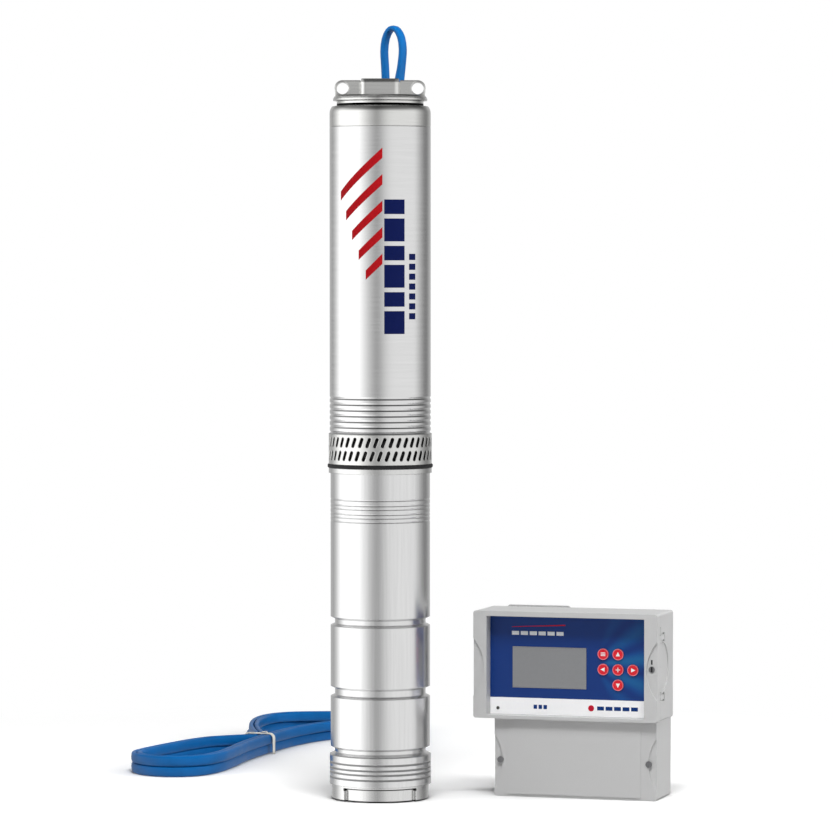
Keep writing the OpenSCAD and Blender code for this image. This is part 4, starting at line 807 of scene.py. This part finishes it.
def make_sleeve_print():
    """Generic print: leaning red stripes beside a navy column of blocks."""
    red = [stripe(i) for i in range(STRIPES)]
    navy = []
    z = BLOCK_BASE
    for tall in BLOCK_HEIGHTS:
        navy.append(upright(BLOCK_SIDES, z, z + tall))
        z += tall + BLOCK_GAP
    for i in range(DASHES):
        z = DASH_BASE + DASH_PITCH * i
        navy.append(upright(DASH_SIDES, z, z + DASH_HEIGHT))
    piece("sleeve_stripes", joined(red), [ink("ink_red", rgb(166, 16, 24))], "set")
    piece("sleeve_blocks", joined(navy), [ink("ink_navy", rgb(3, 16, 68))], "set")


# ---------------------------------------------------------------- controller print

def plate(points, y, thick):
    """A flat shape in x and z, standing proud of y towards the front."""
    return sweep([[Vector((x, y - d, z)) for x, z in points] for d in (0, thick)])


def bar(x0, x1, z0, z1):
    return [(x0, z0), (x1, z0), (x1, z1), (x0, z1)]


def centred(x, z, half_x, half_z):
    return bar(x - half_x, x + half_x, z - half_z, z + half_z)


def printed(name, shapes, front, thick, mat, body):
    """Flat shapes standing proud of a front face, as one piece."""
    flat = joined([plate(points, front, thick) for points in shapes])
    piece(name, flat, [mat], body, smooth=False)


ARROWS = {"up": 90, "left": 180, "right": 0, "down": -90}
ARROW_CORNERS = (0, 128, 232)
ARROW_SIZE = 0.0026
MENU_LINES = (-0.0013, 0, 0.0013)
MENU_HALF = (0.0023, 0.00035)
PLUS_HALF = (0.0022, 0.0004)
SIGN_THICK = 0.00012
RIM_INNER = 0.00480
RIM_OUTER = 0.00545
RIM_THICK = 0.0001
RIM_SIDES = 40


def arrow(x, z, angle):
    turns = [math.radians(a + angle) for a in ARROW_CORNERS]
    return [(x + ARROW_SIZE * math.cos(t), z + ARROW_SIZE * math.sin(t)) for t in turns]


def sign_shapes(key, x, z):
    """An arrow on four keys, three lines on the menu key, a plus on the enter key."""
    if key in ARROWS:
        return [arrow(x, z, ARROWS[key])]
    if key == "menu":
        return [centred(x, z + d, *MENU_HALF) for d in MENU_LINES]
    reach, thin = PLUS_HALF
    return [centred(x, z, thin, reach), centred(x, z, reach, thin)]


def rim_ring(x, z, front):
    """A flat ring round a key."""
    section = ((RIM_INNER, 0), (RIM_INNER, RIM_THICK), (RIM_OUTER, RIM_THICK), (RIM_OUTER, 0))
    rings = [[Vector((x + r * c, front - d, z + r * q)) for r, d in section]
             for c, q in circle(1, RIM_SIDES)]
    return skin(rings, joined_up=True)


def make_key_signs():
    white = ink("ink_white", rgb(250, 250, 250))
    rim = ink("ink_rim", rgb(240, 136, 144))
    for key in ("menu", "up", "left", "enter", "right", "down"):
        low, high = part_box("key_" + key)
        x = (low[0] + high[0]) / 2
        z = (low[2] + high[2]) / 2
        body = key + "_key"
        printed("sign_" + key, sign_shapes(key, x, z), low[1], SIGN_THICK, white, body)
        piece("rim_" + key, rim_ring(x, z, low[1]), [rim], body, smooth=False)


PRINT_THICK = 0.00008
# Rows of printed bars: first bar's sides from the panel's left edge, pitch, count, low and high
HEADER_BARS = (0.0220, 0.0292, 0.0090, 6, 0.1575, 0.1612)
SHORT_BARS = (0.0440, 0.0475, 0.0050, 3, 0.0855, 0.0895)
LONG_BARS = (0.1080, 0.1148, 0.0085, 5, 0.0858, 0.0896)
WEDGE = [(0.022, 0.1650), (0.076, 0.1672), (0.076, 0.1684), (0.022, 0.1655)]
DOT_PLACE = (0.1020, 0.0876)
DOT_RADIUS = 0.0030
DOT_SIDES = 28


def bar_row(edge, row):
    left, right, pitch, count, low, high = row
    return [bar(edge + left + pitch * i, edge + right + pitch * i, low, high) for i in range(count)]


def make_panel_print():
    """Plain bars where the panel carries its printing."""
    edge, front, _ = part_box("key_panel")[0]
    wedge = [(edge + x, z) for x, z in WEDGE]
    dot = [(edge + DOT_PLACE[0] + c, DOT_PLACE[1] + q) for c, q in circle(DOT_RADIUS, DOT_SIDES)]
    rows = [("panel_header", bar_row(edge, HEADER_BARS), ink("panel_white", rgb(244, 246, 250))),
            ("panel_accents", [wedge, dot], ink("panel_red", rgb(196, 22, 48))),
            ("panel_strip", bar_row(edge, SHORT_BARS) + bar_row(edge, LONG_BARS),
             ink("panel_navy", rgb(16, 54, 118)))]
    for name, shapes, mat in rows:
        printed(name, shapes, front, PRINT_THICK, mat, "door")


LENS_X = 0.1028
LENS_Z = 0.0854
LENS_SIDES = 20
# Radius, and how far it stands out
LENS_PROFILE = [(0.0016, 0.0), (0.0015, 0.0003), (0.0011, 0.0006), (0.0005, 0.0008),
                (POINT_RADIUS, 0.0008)]


def make_indicator():
    """Small dark lens over the lamp hole in the pale strip."""
    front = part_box("key_panel")[0][1]
    dark = plastic("lamp_lens", rgb(70, 66, 66), 0.2, 300.0, 0.01)
    rings = [[Vector((LENS_X + c, front - d, LENS_Z + q)) for c, q in circle(r, LENS_SIDES)]
             for r, d in LENS_PROFILE]
    piece("lamp_lens", skin(rings), [dark], "door")


LOCK_X = 0.2604
LOCK_Z = 0.1280
SLOT_SHADE_HALF = (0.0009, 0.0026)
# Half width of the mark, and its lowest and highest point above the lock's middle
MARK = (0.0008, 0.0048, 0.0092)
# How far the door's mark lies behind the front of its rim
MARK_DEPTH = 0.0016
MARK_THICK = 0.0001


def make_lock_marks():
    """Key slot of the lock as a dark plate of painted shade, and the small mark above it on the door."""
    dark = ink("mark_and_slot_shade", rgb(40, 40, 42))
    # The key slot is painted shade: a dark plate on the lock in place of a cut
    slot = centred(LOCK_X, LOCK_Z, *SLOT_SHADE_HALF)
    printed("lock_slot_shade", [slot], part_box("cover_lock")[0][1], MARK_THICK, dark, "lock")
    half, low, high = MARK
    mark = bar(LOCK_X - half, LOCK_X + half, LOCK_Z + low, LOCK_Z + high)
    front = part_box("front_cover")[0][1] + MARK_DEPTH
    printed("door_mark", [mark], front, MARK_THICK, dark, "door")


# ---------------------------------------------------------------- shade sheet in the inlet, valve spring, outlet thread

# A dark sheet behind the inlet slots, standing in for the shade inside the pump
SHADE_SHEET_INNER = 0.0472
SHADE_SHEET_OUTER = 0.0476
SHADE_SHEET_FOOT = 0.0006
SHADE_SHEET_HEAD = 0.0020
SHADE_SHEET_SIDES = 96


def make_slot_shade_sheet(mats):
    """Dark sheet inside the slotted inlet tube: painted shade, seen through the slots."""
    low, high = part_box("suction_strainer")
    foot = low[2] + SHADE_SHEET_FOOT
    head = high[2] - SHADE_SHEET_HEAD
    section = [(SHADE_SHEET_INNER, head), (SHADE_SHEET_OUTER, head), (SHADE_SHEET_OUTER, foot), (SHADE_SHEET_INNER, foot)]
    rings = [[at_pump(r * c, r * q, z) for r, z in section] for c, q in circle(1, SHADE_SHEET_SIDES)]
    piece("slot_shade_sheet", skin(rings, joined_up=True), [mats["bracket_casting"]], "set")


SPRING_WIRE = 0.0005
SPRING_TURNS = 6
SPRING_STEPS = 24
WIRE_SIDES = 8


def make_valve_spring(mats):
    """The check valve's spring, a coil of wire in place of the CAD spring."""
    low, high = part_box("valve_spring")
    free = high[2] - low[2]
    radius = (high[0] - low[0]) / 2 - SPRING_WIRE
    steps = SPRING_TURNS * SPRING_STEPS
    rings = []
    for i in range(steps + 1):
        t = 2 * math.pi * i / SPRING_STEPS
        middle = low[2] + SPRING_WIRE + (free - 2 * SPRING_WIRE) * i / steps
        rings.append([at_pump((radius + out) * math.cos(t), (radius + out) * math.sin(t), middle - down)
                      for out, down in circle(SPRING_WIRE, WIRE_SIDES)])
    spring = piece("valve_spring_wire", sweep(rings), [mats["spring_steel"]], "set")
    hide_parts("valve_spring")
    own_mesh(spring)


THREAD_BORE = 0.01605
THREAD_PITCH = 0.00231
THREAD_DEPTH = 0.0010
THREAD_START = 0.0008
THREAD_TURNS = 7
THREAD_STEPS = 72
THREAD_RUNOUT = 20
ROOT_HALF = 0.0010
CREST_HALF = 0.0002


def make_outlet_thread(mats):
    """The female thread in the outlet, a little inside its bore."""
    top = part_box("outlet_head")[1][2] - THREAD_START - ROOT_HALF
    steps = THREAD_TURNS * THREAD_STEPS
    rings = []
    for i in range(steps + 1):
        t = 2 * math.pi * i / THREAD_STEPS
        z = top - THREAD_PITCH * i / THREAD_STEPS
        crest = THREAD_BORE - THREAD_DEPTH * min(1.0, i / THREAD_RUNOUT, (steps - i) / THREAD_RUNOUT)
        section = ((THREAD_BORE, -ROOT_HALF), (crest, -CREST_HALF), (crest, CREST_HALF),
                   (THREAD_BORE, ROOT_HALF))
        rings.append([at_pump(r * math.cos(t), r * math.sin(t), z + d) for r, d in section])
    piece("outlet_thread", sweep(rings), [mats["head_steel"]], "set")


# ---------------------------------------------------------------- stage

WHITE = (1, 1, 1, 1)
FLOOR_HALF = 9
FLOOR_DROP = 0.0002
FLOOR_TONE = 0.55
FLOOR_LIFT = 1.27
# Contact shade: its reach, how dark it gets, where it is darkest, and its samples
CONTACT_REACH = 0.2
CONTACT_SHADE = 0.55
CONTACT_LOW = 0.3
CONTACT_SAMPLES = 8
# Distances from the origin between which the floor turns white
FADE = (0.42, 0.9)


def floor_material():
    """Grey in reflected light, lifted for the eye with a soft contact shade, white far out."""
    mat = bpy.data.materials.new("floor")
    mat.use_nodes = True
    sh = Shader(mat.node_tree)
    out = sh.add("ShaderNodeOutputMaterial")
    seen = sh.add("ShaderNodeLightPath").outputs["Is Camera Ray"]
    plain = sh.add("ShaderNodeBsdfDiffuse")
    plain.inputs["Color"].default_value = grey(FLOOR_TONE)
    bright = sh.add("ShaderNodeBsdfDiffuse")
    contact = sh.add("ShaderNodeAmbientOcclusion", samples=CONTACT_SAMPLES)
    contact.inputs["Distance"].default_value = CONTACT_REACH
    stops = [(CONTACT_LOW, grey(FLOOR_LIFT * CONTACT_SHADE)), (1.0, grey(FLOOR_LIFT))]
    sh.link(sh.ramp(contact.outputs["AO"], stops), bright.inputs["Color"])
    floor = sh.mix_shader(seen, plain.outputs[0], bright.outputs[0])
    white = sh.add("ShaderNodeEmission")
    white.inputs["Color"].default_value = WHITE
    x, y, _ = sh.place()
    far = sh.math("SUBTRACT", sh.distance(x, y), FADE[0])
    fade = sh.clamp(sh.math("MULTIPLY", far, 1 / (FADE[1] - FADE[0])))
    both = sh.mix_shader(sh.math("MULTIPLY", fade, seen), floor, white.outputs[0])
    sh.link(both, out.inputs["Surface"])
    return mat


def make_floor():
    """White floor that keeps the shadows; far out it turns into the white background."""
    mesh = bpy.data.meshes.new("floor")
    corners = bar(-FLOOR_HALF, FLOOR_HALF, -FLOOR_HALF, FLOOR_HALF)
    mesh.from_pydata([(x, y, 0) for x, y in corners], [], [(0, 1, 2, 3)])
    mesh.materials.append(floor_material())
    obj = link_object("floor", mesh)
    obj.location = (0, 0, -FLOOR_DROP)
    obj.visible_glossy = False


# Brightness round the set, by degrees from the camera's side, as a studio's cards and gaps
ROUND = [
    (-180, 0.62), (-165, 0.60), (-150, 0.50), (-138, 0.42), (-122, 0.75), (-104, 1.50), (-50, 1.50),
    (-36, 1.06), (-23, 0.70), (-8, 0.40), (0, 0.53), (11, 0.77), (22, 0.92), (34, 0.96), (86, 0.96),
    (98, 0.70), (108, 0.50), (121, 0.28), (132, 0.24), (150, 0.50), (165, 0.60), (180, 0.62),
]
# Share of that brightness by height, from straight down, 0, to straight up, 1
UPWARD = [(0.0, 1), (0.62, 1), (0.71, 0.55), (0.79, 0.22), (0.95, 0.1), (1.0, 0.4)]
SKY = 0.15
PURE_WHITE = 1.0


def even_light(sh, strength):
    node = sh.add("ShaderNodeBackground")
    node.inputs["Color"].default_value = WHITE
    node.inputs["Strength"].default_value = strength
    return node.outputs[0]


def card_light(sh):
    """Cards and gaps round the set, dimmer overhead."""
    coords = sh.add("ShaderNodeTexCoord")
    split = sh.add("ShaderNodeSeparateXYZ")
    sh.link(coords.outputs["Generated"], split.inputs[0])
    x, y, z = split.outputs
    near = sh.math("ADD", sh.math("MULTIPLY", x, NEAR.x), sh.math("MULTIPLY", y, NEAR.y))
    right = sh.math("ADD", sh.math("MULTIPLY", x, RIGHT.x), sh.math("MULTIPLY", y, RIGHT.y))
    turn = sh.math("ADD", sh.math("DIVIDE", sh.math("ARCTAN2", right, near), 2 * math.pi), 0.5)
    level = sh.ramp(turn, [((a + 180) / 360, grey(v)) for a, v in ROUND])
    rise = sh.math("ADD", sh.math("MULTIPLY", z, 0.5), 0.5)
    height = sh.ramp(rise, [(place, grey(v)) for place, v in UPWARD])
    cards = sh.add("ShaderNodeBackground")
    sh.link(level, cards.inputs["Color"])
    sh.link(height, cards.inputs["Strength"])
    return cards.outputs[0]


def make_world():
    """White to the eye, cards and gaps to polished metal, an even grey to everything matt."""
    world = bpy.data.worlds.new("studio")
    bpy.context.scene.world = world
    world.use_nodes = True
    sh = Shader(world.node_tree)
    out = sh.add("ShaderNodeOutputWorld")
    path = sh.add("ShaderNodeLightPath").outputs
    lit = sh.mix_shader(path["Is Glossy Ray"], even_light(sh, SKY), card_light(sh))
    seen = sh.math("MAXIMUM", path["Is Camera Ray"], path["Is Transmission Ray"])
    sh.link(sh.mix_shader(seen, lit, even_light(sh, PURE_WHITE)), out.inputs["Surface"])


# Name, place seen from the camera's side (right, towards it, up), width and height, power
LAMPS = [
    ("top", (0.0, 1.3, 2.4), (1.2, 0.7), 62),
    ("front", (-0.3, 3.0, 0.9), (1.6, 1.2), 4),
    ("right", (2.6, 0.5, 1.2), (1.2, 1.2), 41),
    ("left", (-2.6, 0.6, 1.2), (1.2, 1.2), 8),
]
# The lamps stand round this point and aim above it
LAMP_CENTRE = Vector((0.1, 0.1, 0.0))
LAMP_AIM = Vector((0.1, 0.1, 0.2))


def make_lamps():
    for name, (side, near, up), (wide, tall), power in LAMPS:
        data = bpy.data.lights.new(name, "AREA")
        data.shape = "RECTANGLE"
        data.size = wide
        data.size_y = tall
        data.energy = power
        obj = link_object(name, data)
        obj.location = RIGHT * side + NEAR * near + LAMP_CENTRE + Vector((0, 0, up))
        obj.rotation_euler = (LAMP_AIM - obj.location).to_track_quat("-Z", "Y").to_euler()
        obj.visible_glossy = False


# ---------------------------------------------------------------- the set

def main():
    bpy.context.scene.view_settings.view_transform = "Standard"
    make_camera()
    mats = make_materials()
    lead, path, length = make_lead(mats)
    ends = make_cores(mats) + make_tie(mats)
    dress_nodes(mats)
    make_sleeve_print()
    make_key_signs()
    make_panel_print()
    make_indicator()
    make_outlet_thread(mats)
    make_lock_marks()
    make_slot_shade_sheet(mats)
    make_valve_spring(mats)
    make_floor()
    make_world()
    make_lamps()


def write_sizes():
    import json


main()
write_sizes()
